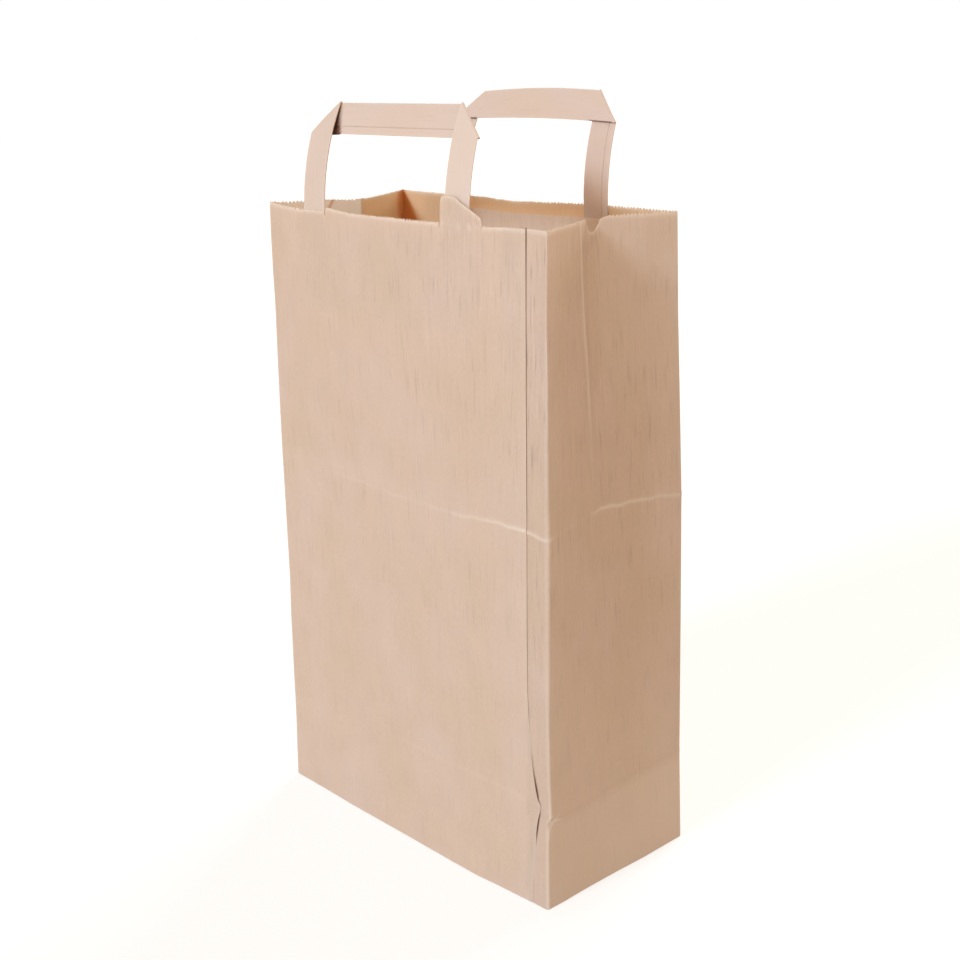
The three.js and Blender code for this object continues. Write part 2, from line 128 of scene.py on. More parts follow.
# %% A flat sheet and its layers
PALE_LIMIT = 1.6


def flat_sheet(name, columns, rows):
    bpy.ops.object.select_all(action="DESELECT")
    bpy.ops.mesh.primitive_grid_add(x_subdivisions=len(columns) - 1, y_subdivisions=len(rows) - 1, size=1)
    piece = bpy.context.object
    piece.name = name
    piece.data.name = name
    points = read_points(piece)
    column = np.rint((points[:, 0] + 0.5) * (len(columns) - 1)).astype(int)
    row = np.rint((points[:, 1] + 0.5) * (len(rows) - 1)).astype(int)
    points[:, 0] = np.asarray(columns)[column]
    points[:, 1] = np.asarray(rows)[row]
    points[:, 2] = 0
    write_points(piece, points)
    return piece


def write_layer(piece, name, values):
    layer = piece.data.attributes.new(name, "FLOAT", "POINT")
    spread = np.zeros(len(piece.data.vertices)) + values
    layer.data.foreach_set("value", spread.astype(np.float32))


def write_sheet_places(piece, places, wear_and_light, ribs=1.0, shade=0.0):
    where = piece.data.attributes.new("sheet", "FLOAT_VECTOR", "POINT")
    where.data.foreach_set("vector", (places * MM).astype(np.float32).ravel())
    write_layer(piece, "wear_and_light", np.clip(wear_and_light, 0, PALE_LIMIT))
    write_layer(piece, "ribs", ribs)
    write_layer(piece, "shade", shade)


def thicken(piece, thickness, offset, inside=0):
    pick_only(piece)
    shell = piece.modifiers.new("ply", "SOLIDIFY")
    shell.thickness = thickness * MM
    shell.offset = offset
    shell.material_offset = inside
    bpy.ops.object.modifier_apply(modifier=shell.name)


def smooth_by_angle(piece, degrees):
    pick_only(piece)
    bpy.ops.object.shade_smooth_by_angle(angle=math.radians(degrees))


def settle(piece, node):
    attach(piece, "root")
    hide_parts(node)


# %% Soft steps, humps and places round the tube
def soft_step(value):
    value = np.clip(value, 0, 1)
    return value * value * (3 - 2 * value)


def hump(value, width):
    return np.exp(-((value / width) ** 2))


def panel_place(tube):
    around = np.mod(tube, TUBE)
    panel = np.searchsorted(PANEL_STARTS, around, side="right") - 1
    return panel, around - PANEL_STARTS[panel]


def way_from(fold, tube):
    return np.mod(tube - fold + TUBE / 2, TUBE) - TUBE / 2


# %% [markdown]
# ## The folded wall
# The wall is described as the paper is: by a place round the tube and a height up the sheet. It could be
# pushed into shape point by point, but a formula keeps the paper's own lengths, which is what makes a
# fold look like paper. Each upright fold leans without growing, the gussets are pushed in toward the rim,
# the stiff patched zone of the front stands out flat, and the back rim leans in between its handle's
# legs.

# %% Where the folds go
def fold_lines(height):
    share = height / PANEL_HEIGHT
    push = GUSSET_PUSH * share
    slide = RIM_SLIDE * share
    half = np.sqrt(GUSSET_HALF**2 - push**2)
    side = PANEL_WIDTH / 2
    none = np.zeros_like(height)
    tops = [(-side + slide, -half), (side + slide, -half), (side - push, none)]
    tops += [(side - slide, half), (-side - slide, half), (-side + push, none)]
    feet = [(-side, -GUSSET_HALF), (side, -GUSSET_HALF), (side, 0)]
    feet += [(side, GUSSET_HALF), (-side, GUSSET_HALF), (-side, 0)]
    lines = []
    for (x, y), (foot_x, foot_y) in zip(tops, feet):
        run = np.hypot(x - foot_x, y - foot_y)
        level = np.sqrt(np.maximum(height**2 - run**2, 0))
        lines.append(np.stack([x, y, level], axis=1))
    return np.array(lines + lines[:1])


corners = fold_lines(np.array([PANEL_HEIGHT]))[:-1, 0]
print("Folds reach the rim in mm at", corners.round(1).tolist())

# %% Bow of the front and dent of the back
FRONT_BOW_LEFT = 9.5
FRONT_BOW_RIGHT = 4.5
FRONT_EASE = 6.5
BACK_DENT = 9
BACK_DENT_HALF = 45.3
BACK_EASE = 8
BOW_SOFTNESS = 0.01


def averaged(curve, along, reach):
    return sum(curve(along + shift) for shift in np.linspace(-reach, reach, 9)) / 9


def front_bow(along):
    places = [0, FRONT_HANDLE_AT - PATCH_HALF, FRONT_HANDLE_AT + PATCH_HALF, PANEL_WIDTH]
    bows = [0, FRONT_BOW_LEFT, FRONT_BOW_RIGHT, 0]

    def straight(place):
        mirrored = np.where(place < 0, -place, np.where(place > PANEL_WIDTH, 2 * PANEL_WIDTH - place, place))
        sign = np.where((place < 0) | (place > PANEL_WIDTH), -1, 1)
        return sign * np.interp(mirrored, places, bows)

    return averaged(straight, along, FRONT_EASE)


def back_dent(along):
    def pointed(place):
        return BACK_DENT * np.maximum(1 - np.abs(place - BACK_HANDLE_AT) / BACK_DENT_HALF, 0)

    return averaged(pointed, along, BACK_EASE)


def panel_bow(panel, along, height):
    above = 1 - (height - MID_FOLD) / (STIFF_LINE - MID_FOLD)
    rise = np.clip(1 - (above + np.sqrt(above**2 + BOW_SOFTNESS)) / 2, 0, 1)
    return rise * np.where(panel == FRONT, front_bow(along), np.where(panel == BACK, -back_dent(along), 0))


print("Front bows out by", FRONT_BOW_LEFT, "and", FRONT_BOW_RIGHT, "mm, back is dented by", BACK_DENT, "mm")

# %% The wall, sharp and with rounded folds
FOLD_BEND = 0.6


def sharp_wall(tube, height):
    panel, along = panel_place(tube)
    lines = fold_lines(height)
    item = np.arange(len(tube))
    start = lines[panel, item]
    run = lines[panel + 1, item] - start
    outward = np.stack([run[:, 1], -run[:, 0], np.zeros_like(height)], axis=1)
    outward /= np.linalg.norm(outward, axis=1)[:, None]
    points = start + run * (along / PANEL_LENGTHS[panel])[:, None]
    points += outward * panel_bow(panel, along, height)[:, None]
    return points, outward


def folded_wall(tube, height):
    points, outward = sharp_wall(tube, height)
    for fold in [*PANEL_STARTS, TUBE]:
        reach = way_from(fold, tube)
        near = np.abs(reach) < FOLD_BEND
        if not near.any():
            continue
        level = height[near]
        before, outward_before = sharp_wall(np.full_like(level, fold - FOLD_BEND), level)
        corner, _ = sharp_wall(np.full_like(level, fold), level)
        after, outward_after = sharp_wall(np.full_like(level, fold + FOLD_BEND), level)
        turn = ((reach[near] + FOLD_BEND) / (2 * FOLD_BEND))[:, None]
        points[near] = (1 - turn) ** 2 * before + 2 * turn * (1 - turn) * corner + turn**2 * after
        blend = (1 - turn) * outward_before + turn * outward_after
        outward[near] = blend / np.linalg.norm(blend, axis=1)[:, None]
    return points, outward


rim_middle = folded_wall(np.array([PANEL_WIDTH / 2]), np.array([PANEL_HEIGHT]))[0][0]
print("The middle of the front rim is at", rim_middle.round(1).tolist(), "mm")

# %% [markdown]
# ## The rim
# The top is cut by a toothed blade, so the edge is a row of small points. The cutter also leaves a tab
# that covers the front handle's right leg, an ear with a slit beside the left one, and a thumb notch in
# the gusset. They could be cut with Boolean tools, but a height for each column of the sheet gives a
# cleaner edge.

# %% Cuts in the rim
TAB_LEFT = FRONT_HANDLE_AT + HALF_SPAN - STRIP_WIDTH - 3.3
TAB_WIDTH = 29.0
TAB_AT = [-1, -0.5, 0, 0.2, 0.5, 1.0, 2.0, 3.5, 10.8, 12.2, 14, 21.3, 25, 27.3, 28.4]
TAB_AT += [TAB_WIDTH, 29.3, 29.5, 30]
TAB_UP = [0, -3.5, 0, 7, 10.3, 11.8, 12.7, 13, 13, 12.6, 11.6, 8.0, 6.1, 4.8, 3.7, 2.4, 1.0, -1.8, -0.5]
EAR_LEFT = FRONT_HANDLE_AT - HALF_SPAN + STRIP_WIDTH + 2
EAR_AT = [-1, -0.5, 0, 0.6, 1.6, 3, 6, 10, 14, 17]
EAR_UP = [0, -3.5, 0, 1.2, 1.6, 1.5, 1.0, 0.6, 0.2, 0]
NOTCH_LEFT = PANEL_STARTS[RIGHT_FAR] + 0.2
NOTCH_AT = [0, 0.3, 0.8, 1.6, 2.6, 4.2, 5.6, 7.2, 8.4, 10, 13.5]
NOTCH_UP = [0, -3.2, -5, -6.6, -7.0, -7.0, -5.8, -3.6, -1.6, -0.9, -0.3]
NICK_AT = [35.2, 36.0, 37.0]
NICK_UP = [0, -1.6, 0]
EXTRA_AT = [0, 40, 90, 150, 185, 205, 220, 274, 284, 300, 328, 390, 438, 548, 590, 602, 622, 640, 656]
EXTRA = [1.3, 1.0, 0.9, 0.6, 0.6, 1.2, 0.5, 0.5, 1.5, 1.3, 0.6, 0.8, 0.2, 0, 0.3, 0.6, 0.9, 1.1, 1.3]
RIM_CUTS = [
    (TUBE + TAB_LEFT + np.array(TAB_AT), TAB_UP),
    (TUBE + EAR_LEFT + np.array(EAR_AT), EAR_UP),
    (NOTCH_LEFT + np.array(NOTCH_AT), NOTCH_UP),
    (TUBE + np.array(NICK_AT), NICK_UP),
]


def rim_profile(tube):
    extra = np.interp(np.mod(tube, TUBE), EXTRA_AT, EXTRA)
    rise = extra
    plain = np.ones_like(tube)
    for places, ups in RIM_CUTS:
        inside = (tube >= places[0] - 0.01) & (tube <= places[-1] + 0.01)
        rise = np.where(inside, extra + np.interp(tube, places, ups), rise)
        plain = np.where(inside, 0, plain)
    return rise, plain


print("Tab at", round(TAB_LEFT, 1), "mm and ear at", round(EAR_LEFT, 1), "mm along the front")

# %% [markdown]
# ## Creases and dents
# The middle fold and the base crease wander a little, as they do on a bag that has been opened by hand.
# Each leaves a fine ridge whose pale line is partly rubbed fibres and partly a painted highlight. They could
# be carved with edge loops, but here each crease is a curve over the flat sheet, led through a few listed
# places, and the rows of the sheet follow it.

# %% Crease lines
MID_AT = [0, 59, 110, 160, 175, 190, 208, 215, 220, 247, 274, 300, 314, 327, 438, 548, 602, 656]
MID_HEIGHT = [208, 208.4, 206.6, 206, 207.6, 208.2, 208.2, 207.5, 206.5, 207.5, 208.4, 208.4, 207.8, 206.6]
MID_HEIGHT += [207.5, 207, 208, 208]
BASE_AT = [0, 130, 200, 217, 220, 224, 235, 245.6, 267, 280, 304, 326, 330, 438, 548, 553, 570, 602, 640, 656]
BASE_HEIGHT = [58, 59, 60, 59.5, 56.5, 52.5, 48.5, 46.8, 47.8, 49.7, 51.2, 52.3, 55.5, 58.5, 57.5, 53, 49]
BASE_HEIGHT += [48.5, 51, 57.5]


def mid_fold_height(tube):
    waver = 0.3 * np.sin(tube / 2.9) + 0.2 * np.sin(tube / 1.6 + 1)
    return np.interp(np.mod(tube, TUBE), MID_AT, MID_HEIGHT) + waver


def base_crease_height(tube):
    return np.interp(np.mod(tube, TUBE), BASE_AT, BASE_HEIGHT)


print("Middle fold at", MID_FOLD, "mm, base crease at", BASE_HEIGHT[0], "mm")

# %% Ridges along the creases
BASE_SWELL = 0.7
MID_SWELL = 1.5
RIDGE_HEIGHT = 0.4
RIDGE_AT = [0, 40, 72, 151, 154, 218, 221, 226, 262, 270, 277, 326, 330, 438, 546, 602, 656]
RIDGE = [0.02, 0.02, 0.22, 0.25, 0.9, 1.0, 0.8, 0.15, 0.12, 0.7, 1.0, 1.1, 0.6, 0.4, 0.6, 0.3, 0.1]
FOOT_AT = [0, 30, 60, 110, 150, 170, 185, 206, 220, 228, 233, 250, 274, 295, 328, 438, 548, 602, 656]
FOOT_OUT = [2.0, 2.4, 3.3, 3.5, 4.0, 4.0, 2.8, 1.8, 1.0, 1.9, 2.2, 2.0, 2.0, 2.4, 1.6, 2.5, 2.0, 2.5, 2.0]


def crease_relief(tube, height):
    panel, along = panel_place(tube)
    around = np.mod(tube, TUBE)
    base_line = base_crease_height(tube)
    mid_line = mid_fold_height(tube)
    low = BASE_SWELL * height / base_line
    middle = BASE_SWELL + (MID_SWELL - BASE_SWELL) * (height - base_line) / (mid_line - base_line)
    high = MID_SWELL * np.clip(1 - (height - mid_line) / (STIFF_LINE - mid_line), 0, 1)
    out = np.where(height < base_line, low, np.where(height < mid_line, middle, high))
    out += np.interp(around, FOOT_AT, FOOT_OUT) * np.clip(1 - height / base_line, 0, 1)
    broken = 0.75 + 0.25 * np.sin(around / 7.3 + 1.9 * np.sin(around / 19))
    ridge = np.interp(around, RIDGE_AT, RIDGE) * broken
    out += RIDGE_HEIGHT * ridge * hump(height - mid_line, 1.1)
    out += 0.12 * hump(height - base_line, 1.4)
    # The pale line on each crease is partly rubbed fibres and partly a painted highlight, and the broad pale
    # band above the middle fold on the left of the front is painted light.
    wear_and_light = 1.3 * ridge * hump(height - mid_line, 1.0)
    wear_and_light += 0.15 * hump(height - base_line, 1.2) * np.where(panel == FRONT, soft_step((along - 60) / 80), 1)
    wear_and_light += 0.14 * hump(height - mid_line - 4, 6) * (panel == FRONT) * soft_step((150 - along) / 40)
    return out, wear_and_light


print("The middle fold's ridge is up to", round(RIDGE_HEIGHT * max(RIDGE), 2), "mm high")

# %% [markdown]
# The near corner was knocked out at the base crease, and the paper there is crumpled into a small star, whose
# facet and lip are painted highlights. A pleat runs down from the thumb notch with a painted highlight along
# it, and the tab bulges over the leg that it covers, with a painted highlight along its foot. The rest of the
# paper is never quite flat, so slow waves give it a cockle. A sculpting brush could press such marks, but
# here each is a short profile along the sheet, which one value can move or soften.

# %% The knocked corner
KNOCK_AT = [0, 36, 41, 47, 51, 53.5, 56, 60, 66, 75, 88, 105, 204, 225, 289, 310, 357]
KNOCK = [1.7, 1.8, 1.9, 2.2, 2.9, 3.9, 4.3, 4.3, 3.9, 3.2, 3.0, 2.5, 2.5, 1.8, 1.7, 0.9, 0.9]
STAR_AT = [0, 46, 49, 51, 52.4, 53.6, 55.5, 59]
STAR = [0, 0, -0.5, -0.9, -0.4, 0.7, 0.5, 0]
STAR_SLOPE = 0.33
FACET_AT = [40, 41, 44, 47, 49, 50.5, 51.8, 52.6]
FACET = [0, 0.2, 1, 2, 3.5, 6, 8.5, 9]
FACET_FOOT = 39.5
FACET_TOP = 52.9
LIP_HEIGHT = 52.6


def corner_relief(tube, height):
    from_corner = way_from(PANEL_WIDTH, tube)
    beyond = from_corner >= 0
    out = np.interp(height, STAR_AT, STAR) * np.where(beyond, np.exp(-np.abs(from_corner) / 4), 0)
    # Painted highlight: the bright facet and the lip at the crumpled star; the thin pale line on the corner
    # fold is rubbed wear.
    facet = soft_step((np.interp(height, FACET_AT, FACET) - from_corner) / 1.2 + 0.5)
    facet *= soft_step((height - FACET_FOOT) / 2) * soft_step((FACET_TOP - height) / 0.6) * beyond
    lip = hump(height - LIP_HEIGHT + STAR_SLOPE * from_corner, 0.8)
    lip *= soft_step((13 - from_corner) / 5) * beyond
    return out, 0.5 * hump(from_corner, 0.9) + facet + lip


def knocked_corner(tube, height):
    from_corner = way_from(PANEL_WIDTH, tube)
    front_side = soft_step(1 + from_corner / 12)
    share = np.where(from_corner < 0, front_side, np.exp(-np.abs(from_corner) / 10))
    return np.interp(height, KNOCK_AT, KNOCK) * share


print("The corner is knocked out by up to", max(KNOCK), "mm")

# %% Pleat, tab and rubbed gusset
PLEAT_AT = [0, 270, 290, 305, 320, 357]
PLEAT = [47, 47, 46.6, 45.2, 45.1, 45]
PLEAT_HEIGHT = 0.8


def upper_part(height):
    return soft_step((height - 210) / 70)


def pleat_relief(tube, height):
    panel, along = panel_place(tube)
    from_pleat = along - np.interp(height, PLEAT_AT, PLEAT)
    strength = upper_part(height) * (panel == RIGHT_NEAR)
    far_mark = (panel == RIGHT_FAR) * hump(along - 8, 0.9) * hump(height - 53, 3.5)
    out = PLEAT_HEIGHT * strength * np.exp(-np.abs(from_pleat) / 1.8) - 0.5 * far_mark
    # The pale line on the pleat is a painted highlight.
    return out, 0.9 * strength * hump(from_pleat, 1.2)


def tab_relief(tube, height):
    panel, along = panel_place(tube)
    past_left = along - TAB_LEFT
    below_rim = PANEL_HEIGHT - height
    on_tab = (panel == FRONT) * soft_step((past_left + 0.1) / 0.6) * soft_step((TAB_WIDTH - past_left) / 3)
    out = on_tab * (0.45 * hump(below_rim - 0.4, 0.8) - 0.25 * hump(below_rim - 2.2, 1.2))
    out += 0.9 * on_tab * soft_step((past_left - 4.5) / 12) * soft_step(-below_rim / 4)
    # The pale line along the tab's foot is a painted highlight.
    return out, 0.8 * on_tab * hump(below_rim - 0.4, 0.7)


def gusset_wear_and_light(tube, height):
    panel, along = panel_place(tube)
    above_crease = height - base_crease_height(tube)
    on_gusset = (panel == RIGHT_NEAR) | (panel == RIGHT_FAR)
    # Painted light: the gusset is painted paler below the base crease, toward its foot, and on the far half
    # near the top; the pale lines on the other three folds are rubbed wear.
    wear_and_light = 0.65 * on_gusset * (1 - soft_step((above_crease + 5) / 7))
    pale_below = np.interp(np.mod(tube, TUBE), [PANEL_WIDTH, PANEL_STARTS[BACK]], [170, 110])
    wear_and_light += 0.25 * on_gusset * soft_step((pale_below - height) / 60) * soft_step((above_crease + 2) / 7)
    wear_and_light += 0.3 * (panel == RIGHT_FAR) * soft_step((height - 240) / 60) * soft_step((along - 2) / 6)
    for fold in PANEL_STARTS[[FRONT, BACK, LEFT_FAR]]:
        wear_and_light += 0.35 * hump(way_from(fold, tube), 0.9)
    return wear_and_light


print("The pleat is", PLEAT_HEIGHT, "mm high and meets the rim", PLEAT[-1], "mm behind the front")

# %% The whole relief
def cockle(tube, height):
    waves = 0.16 * np.sin(tube / 17 + 1.7 * np.sin(height / 60) + 0.4)
    waves += 0.12 * np.sin(tube / 9.1 + height / 140 + 2.1) * np.sin(height / 47 + 0.8)
    waves += 0.10 * np.sin(height / 23 + 1.3 * np.sin(tube / 41) + 1.1)
    panel, along = panel_place(tube)
    from_fold = np.minimum(along, PANEL_LENGTHS[panel] - along)
    return waves * soft_step(height / 12) * soft_step(from_fold / 14)


def wall_relief(tube, height):
    out, wear_and_light = crease_relief(tube, height)
    for more_relief in (corner_relief, pleat_relief, tab_relief):
        more_out, more_wear = more_relief(tube, height)
        out += more_out
        wear_and_light += more_wear
    return out + cockle(tube, height), wear_and_light + gusset_wear_and_light(tube, height)


way_round = np.arange(TUBE)
fold_out, _ = wall_relief(way_round, np.full_like(way_round, MID_FOLD))
print("At the middle fold the paper stands out by up to", round(fold_out.max(), 1), "mm")

# %% [markdown]
# The sheet's outer end is glued over its start. Its edge is a hairline where the glue holds it, and a dark
# gap where it has sprung up, near the knocked corner and below the rim; the dark of the gap is painted shadow
# on the ply beneath, and a pale line beside the tight edge is a painted highlight. The left edge of the front
# leans a little. Loose edges could be pulled by hand, but a profile up the sheet keeps them even.

# %% The seam's edge and the left edge
SEAM_AT = [0, 21, 41, 56, 60, 62, 79, 88, 104, 117, 161, 209, 265, 310, 357]
SEAM_ALONG = [211.2, 212.2, 213.6, 214.6, 215.0, 213.8, 211.4, 210.3, 209.4, 208.6, 208.7, 208.8, 208.3]
SEAM_ALONG += [207.8, 207.6]
LIFT_AT = [0, 22, 30, 36, 41, 46, 54, 57, 60, 63, 68, 79, 86, 90, 103, 109, 209, 265, 300, 325, 345, 357]
LIFT = [-0.1, -0.1, -0.03, 0, 0.4, 0.55, 0.4, 0.1, 0.15, 0.45, 0.6, 0.25, 0, -0.1, -0.1, -0.03, -0.02, 0.03]
LIFT += [0.1, 0.2, 0.25, 0.3]
SEAM_SHADOW_AT = [0, 36, 41, 46, 54, 58, 63, 68, 79, 92, 110, 265, 300, 325, 357]
SEAM_SHADOW_REACH = [-0.1, 0.0, 0.3, 0.4, 0.3, 0.0, 0.3, 0.45, 0.3, 0.05, 0.05, 0.05, 0.1, 0.12, 0.15]
SEAM_SHADOW_DARK = [0, 0, 0.6, 0.9, 0.8, 0.45, 0.8, 0.9, 0.4, 0.05, 0.03, 0.08, 0.7, 0.9, 1.0]
EDGE_AT = [0, 38, 63, 110, 133, 204, 227, 250, 273, 296, 318, 340, 357]
EDGE_LEFT = [0, 0, 0.6, -0.3, -1.3, -0.8, 0, 0.8, 1.4, 1.9, 3.0, 3.5, 3.4]
EDGE_REACH = 90


# Painted shadow: the ply under the seam's edge is darkened where the edge has sprung up, as the gap's shadow.
def seam_gap_shadow(tube, height):
    past_edge = tube - np.interp(height, SEAM_AT, SEAM_ALONG)
    line = np.interp(height, SEAM_SHADOW_AT, SEAM_SHADOW_REACH)
    dark = np.interp(height, SEAM_SHADOW_AT, SEAM_SHADOW_DARK)
    return dark * (1 - soft_step((past_edge - line) / 0.35)) * soft_step((past_edge + 5) / 2)


def left_edge_lean(tube, height):
    panel, along = panel_place(tube)
    on_gusset = np.where(panel == LEFT_NEAR, along / GUSSET_HALF, 0)
    share = np.where(panel == FRONT, 1 - along / EDGE_REACH, on_gusset)
    return np.interp(height, EDGE_AT, EDGE_LEFT) * np.clip(share, 0, 1)


print("The seam springs up by", max(LIFT), "mm, the left edge leans by", max(EDGE_LEFT), "mm")

# %% [markdown]
# Ribs show most on the gusset, and the shade in the creases is painted into the colour. Such tones could be
# painted by hand, but they are worked out along the sheet, so they stay with the folds. The inside has its
# own layers of painted light and shade. They make the left gusset pale, the far left corner orange and the
# back rim duller, as in the photograph.

# %% Ribs and painted shade of the outside
def rib_strength(tube, height):
    panel, along = panel_place(tube)
    upper = soft_step((height - 90) / 120)
    strength = np.where((panel == FRONT) | (panel == BACK), 0.45 + 0.25 * upper, 0.7 + 0.6 * upper)
    strength = np.where((panel == FRONT) & (along > SEAM), 0.9 + 0.8 * upper, strength)
    cloudy = soft_step((along - 90) / 60) * soft_step((height - 230) / 60)
    return strength + 0.6 * cloudy * (panel == FRONT)


# Painted shade: a faint band beside the pleat and a dark line above the crumpled star; the strip past the
# seam is painted a little darker.
def crease_shade(tube, height):
    panel, along = panel_place(tube)
    from_pleat = along - np.interp(height, PLEAT_AT, PLEAT)
    beside_pleat = soft_step((from_pleat - 1.2) / 0.8) * soft_step((56 - along) / 4)
    shade = 0.06 * upper_part(height) * beside_pleat * (panel == RIGHT_NEAR)
    star_line = hump(height - 54.0 + STAR_SLOPE * along, 0.6) * np.exp(-along / 6)
    shade += 0.45 * star_line * (panel == RIGHT_NEAR)
    return shade + 0.08 * (panel == FRONT) * (along > SEAM)


ribs_round = rib_strength(way_round, np.full_like(way_round, STIFF_LINE))
print("Ribs show with a strength of", round(ribs_round.min(), 2), "to", round(ribs_round.max(), 2))

# %% Painted light and shade of the inside
# Painted light: the inside of the near left gusset half is painted pale near the rim.
def inner_painted_light(tube, height):
    panel, along = panel_place(tube)
    pale = np.interp(along, [0, 18.5, 40, GUSSET_HALF], [1.6, 1.6, 1.2, 0.6])
    return pale * (panel == LEFT_NEAR) * soft_step((height - 320) / 20)


def inner_shade(tube, height):
    panel, along = panel_place(tube)
    below_rim = PANEL_HEIGHT - height
    # Painted shade: a dark line along a kink in the near left gusset, an orange darkening in the far left
    # corner that widens down the back wall, and a slight darkening of the back near the rim.
    kink = hump(along - 17.4 - 0.5 * below_rim, 0.8) * soft_step((height - 340) / 8)
    corner = way_from(PANEL_STARTS[LEFT_FAR], tube)
    width = 4 + 0.6 * np.clip(below_rim, 0, 40)
    deep = np.where(corner > 0, soft_step((12 - corner) / 8), soft_step((width + corner) / 4))
    deep *= soft_step((height - 295) / 40)
    near_rim = soft_step((height - 200) / 80)
    return 0.75 * kink * (panel == LEFT_NEAR) + 0.72 * deep + 0.1 * near_rim * (panel == BACK)


def inner_dim(tube, height):
    panel, along = panel_place(tube)
    # Painted shade: the back wall is dimmed near the rim in two places along it.
    dim = 0.2 * soft_step((70 - along) / 25) + 0.2 * hump(along - 188, 13)
    return dim * (panel == BACK) * soft_step((height - 300) / 30)


shade_round = inner_shade(way_round, np.full_like(way_round, PANEL_HEIGHT))
print("At the rim the inside is shaded by up to", round(shade_round.max(), 2))

# %% [markdown]
# ## The flat sheet
# The sheet runs once round the bag and past the seam, so it starts behind the seam and ends on top of it.
# Its columns stand at the teeth, closer at the folds, and its rows lie along the creases. An even grid
# would need far more faces for the same folds.

# %% Columns and rows
SEAM_COLUMNS = np.arange(206.2, 218.2, 0.4)
PLEAT_COLUMNS = np.array([1.9, 2.7, 3.6, *np.arange(43.4, 49.4, 0.6)])
KINK_COLUMNS = np.arange(16.6, 22.4, 0.6)
CLOSEST = 0.12


def sheet_columns():
    start = SEAM - SEAM_LAP
    columns = [start, start + 1, start + 3]
    for panel, length in list(enumerate(PANEL_LENGTHS))[1:]:
        teeth = round(length / TOOTH_PITCH)
        columns += list(PANEL_STARTS[panel] + np.arange(teeth) * length / teeth)
    teeth = round(PANEL_WIDTH / TOOTH_PITCH)
    front = TUBE + np.arange(teeth) * PANEL_WIDTH / teeth
    columns += list(front[front < TUBE + SEAM - 2])
    columns += list(np.arange(start + 5, PANEL_WIDTH - 0.5, TOOTH_PITCH))
    columns += [TUBE + SEAM - 1.2, TUBE + SEAM - 0.5, TUBE + SEAM]
    for fold in [*PANEL_STARTS[1:], TUBE]:
        columns += [fold - 1.4, fold - 0.6, fold - 0.3, fold + 0.3, fold + 0.6, fold + 1.4]
    for places, _ in RIM_CUTS:
        columns += list(places)
    columns += list(SEAM_COLUMNS)
    columns += list(PANEL_STARTS[RIGHT_NEAR] + PLEAT_COLUMNS)
    columns += list(PANEL_STARTS[LEFT_NEAR] + KINK_COLUMNS)
    columns = np.sort(np.array(columns))
    keep = np.concatenate([[True], np.diff(columns) > CLOSEST])
    return columns[keep]


def sheet_rows():
    low = [0, 0.5, 1.2, 2.5, 5, 9, 14, 19, 24, 29, 34, 38, 41, 44, 46.5, 48.5, 50, 51.5, 53, 54.2, 55.3, 56.3]
    low += [57.2, 58]
    middle = [0.8, 1.7, 2.8, 4, 5.5, 7.5, 10, 13, 17, 22, 28, 35, 43, 52, 62, 72, 82, 92, 102, 111, 119, 126]
    middle += [132, 137, 140.5, 143, 144.6, 145.8, 146.8, 147.5, 148]
    high = [0.6, 1.3, 2.3, 3.5, 5, 7.5, 11, 15, 20, 26, 33, 41, 50, 59, 68, 77, 86, 95, 103, 110, 117, 124]
    high += [130, 135, 139, 142.5, 145, 147, 148.5, 149.7, 151]
    parts = [np.array(part) / part[-1] for part in (low, middle, high)]
    return np.concatenate([parts[0], 1 + parts[1], 2 + parts[2]])


columns = sheet_columns()
rows = sheet_rows()
bag = flat_sheet("folded_bag", columns, rows)
print("Flat sheet:", len(columns), "columns and", len(rows), "rows")

# %% Cut the teeth
TOP_ROW = 2.9999
plain_count = len(bag.data.vertices)
edit_edges(bag, read_points(bag)[:, 1] > TOP_ROW)
bpy.ops.mesh.subdivide(number_cuts=1)
bpy.ops.object.mode_set(mode="OBJECT")
flat = read_points(bag)
print("Teeth cut:", len(flat) - plain_count)

# %% [markdown]
# ## Folding the sheet
# Every point of the flat sheet now gets its height from the crease lines, and is carried to its place on
# the folded wall. The hidden end lies one ply further in, and the outer end stands off a little along the
# seam. Panels could be turned about their folds one by one, but then the creases and dents would need a
# second pass.

# %% Heights on the sheet
row = flat[:, 1]
chance = np.random.default_rng(7)
rim_rise, plain_rim = rim_profile(flat[:, 0])
tip = np.arange(len(flat)) >= plain_count
pitch = np.interp(flat[:, 0], (columns[1:] + columns[:-1]) / 2, np.diff(columns))
depth = TOOTH_DEPTH * np.clip(pitch / TOOTH_PITCH, 0, 1) * chance.uniform(0.6, 1.3, len(flat))
tooth = np.where(tip, chance.uniform(-0.2, 0.25, len(flat)), -depth) * plain_rim
top = PANEL_HEIGHT + rim_rise + np.where(row > TOP_ROW, tooth, -0.5 * plain_rim)
base_line = base_crease_height(flat[:, 0])
mid_line = mid_fold_height(flat[:, 0])
height = np.where(row < 1, row * base_line, base_line + (row - 1) * (mid_line - base_line))
height = np.where(row > 2, mid_line + (row - 2) * (top - mid_line), height)
print("Paper reaches", round(height.max(), 1), "mm along itself, at the tab")

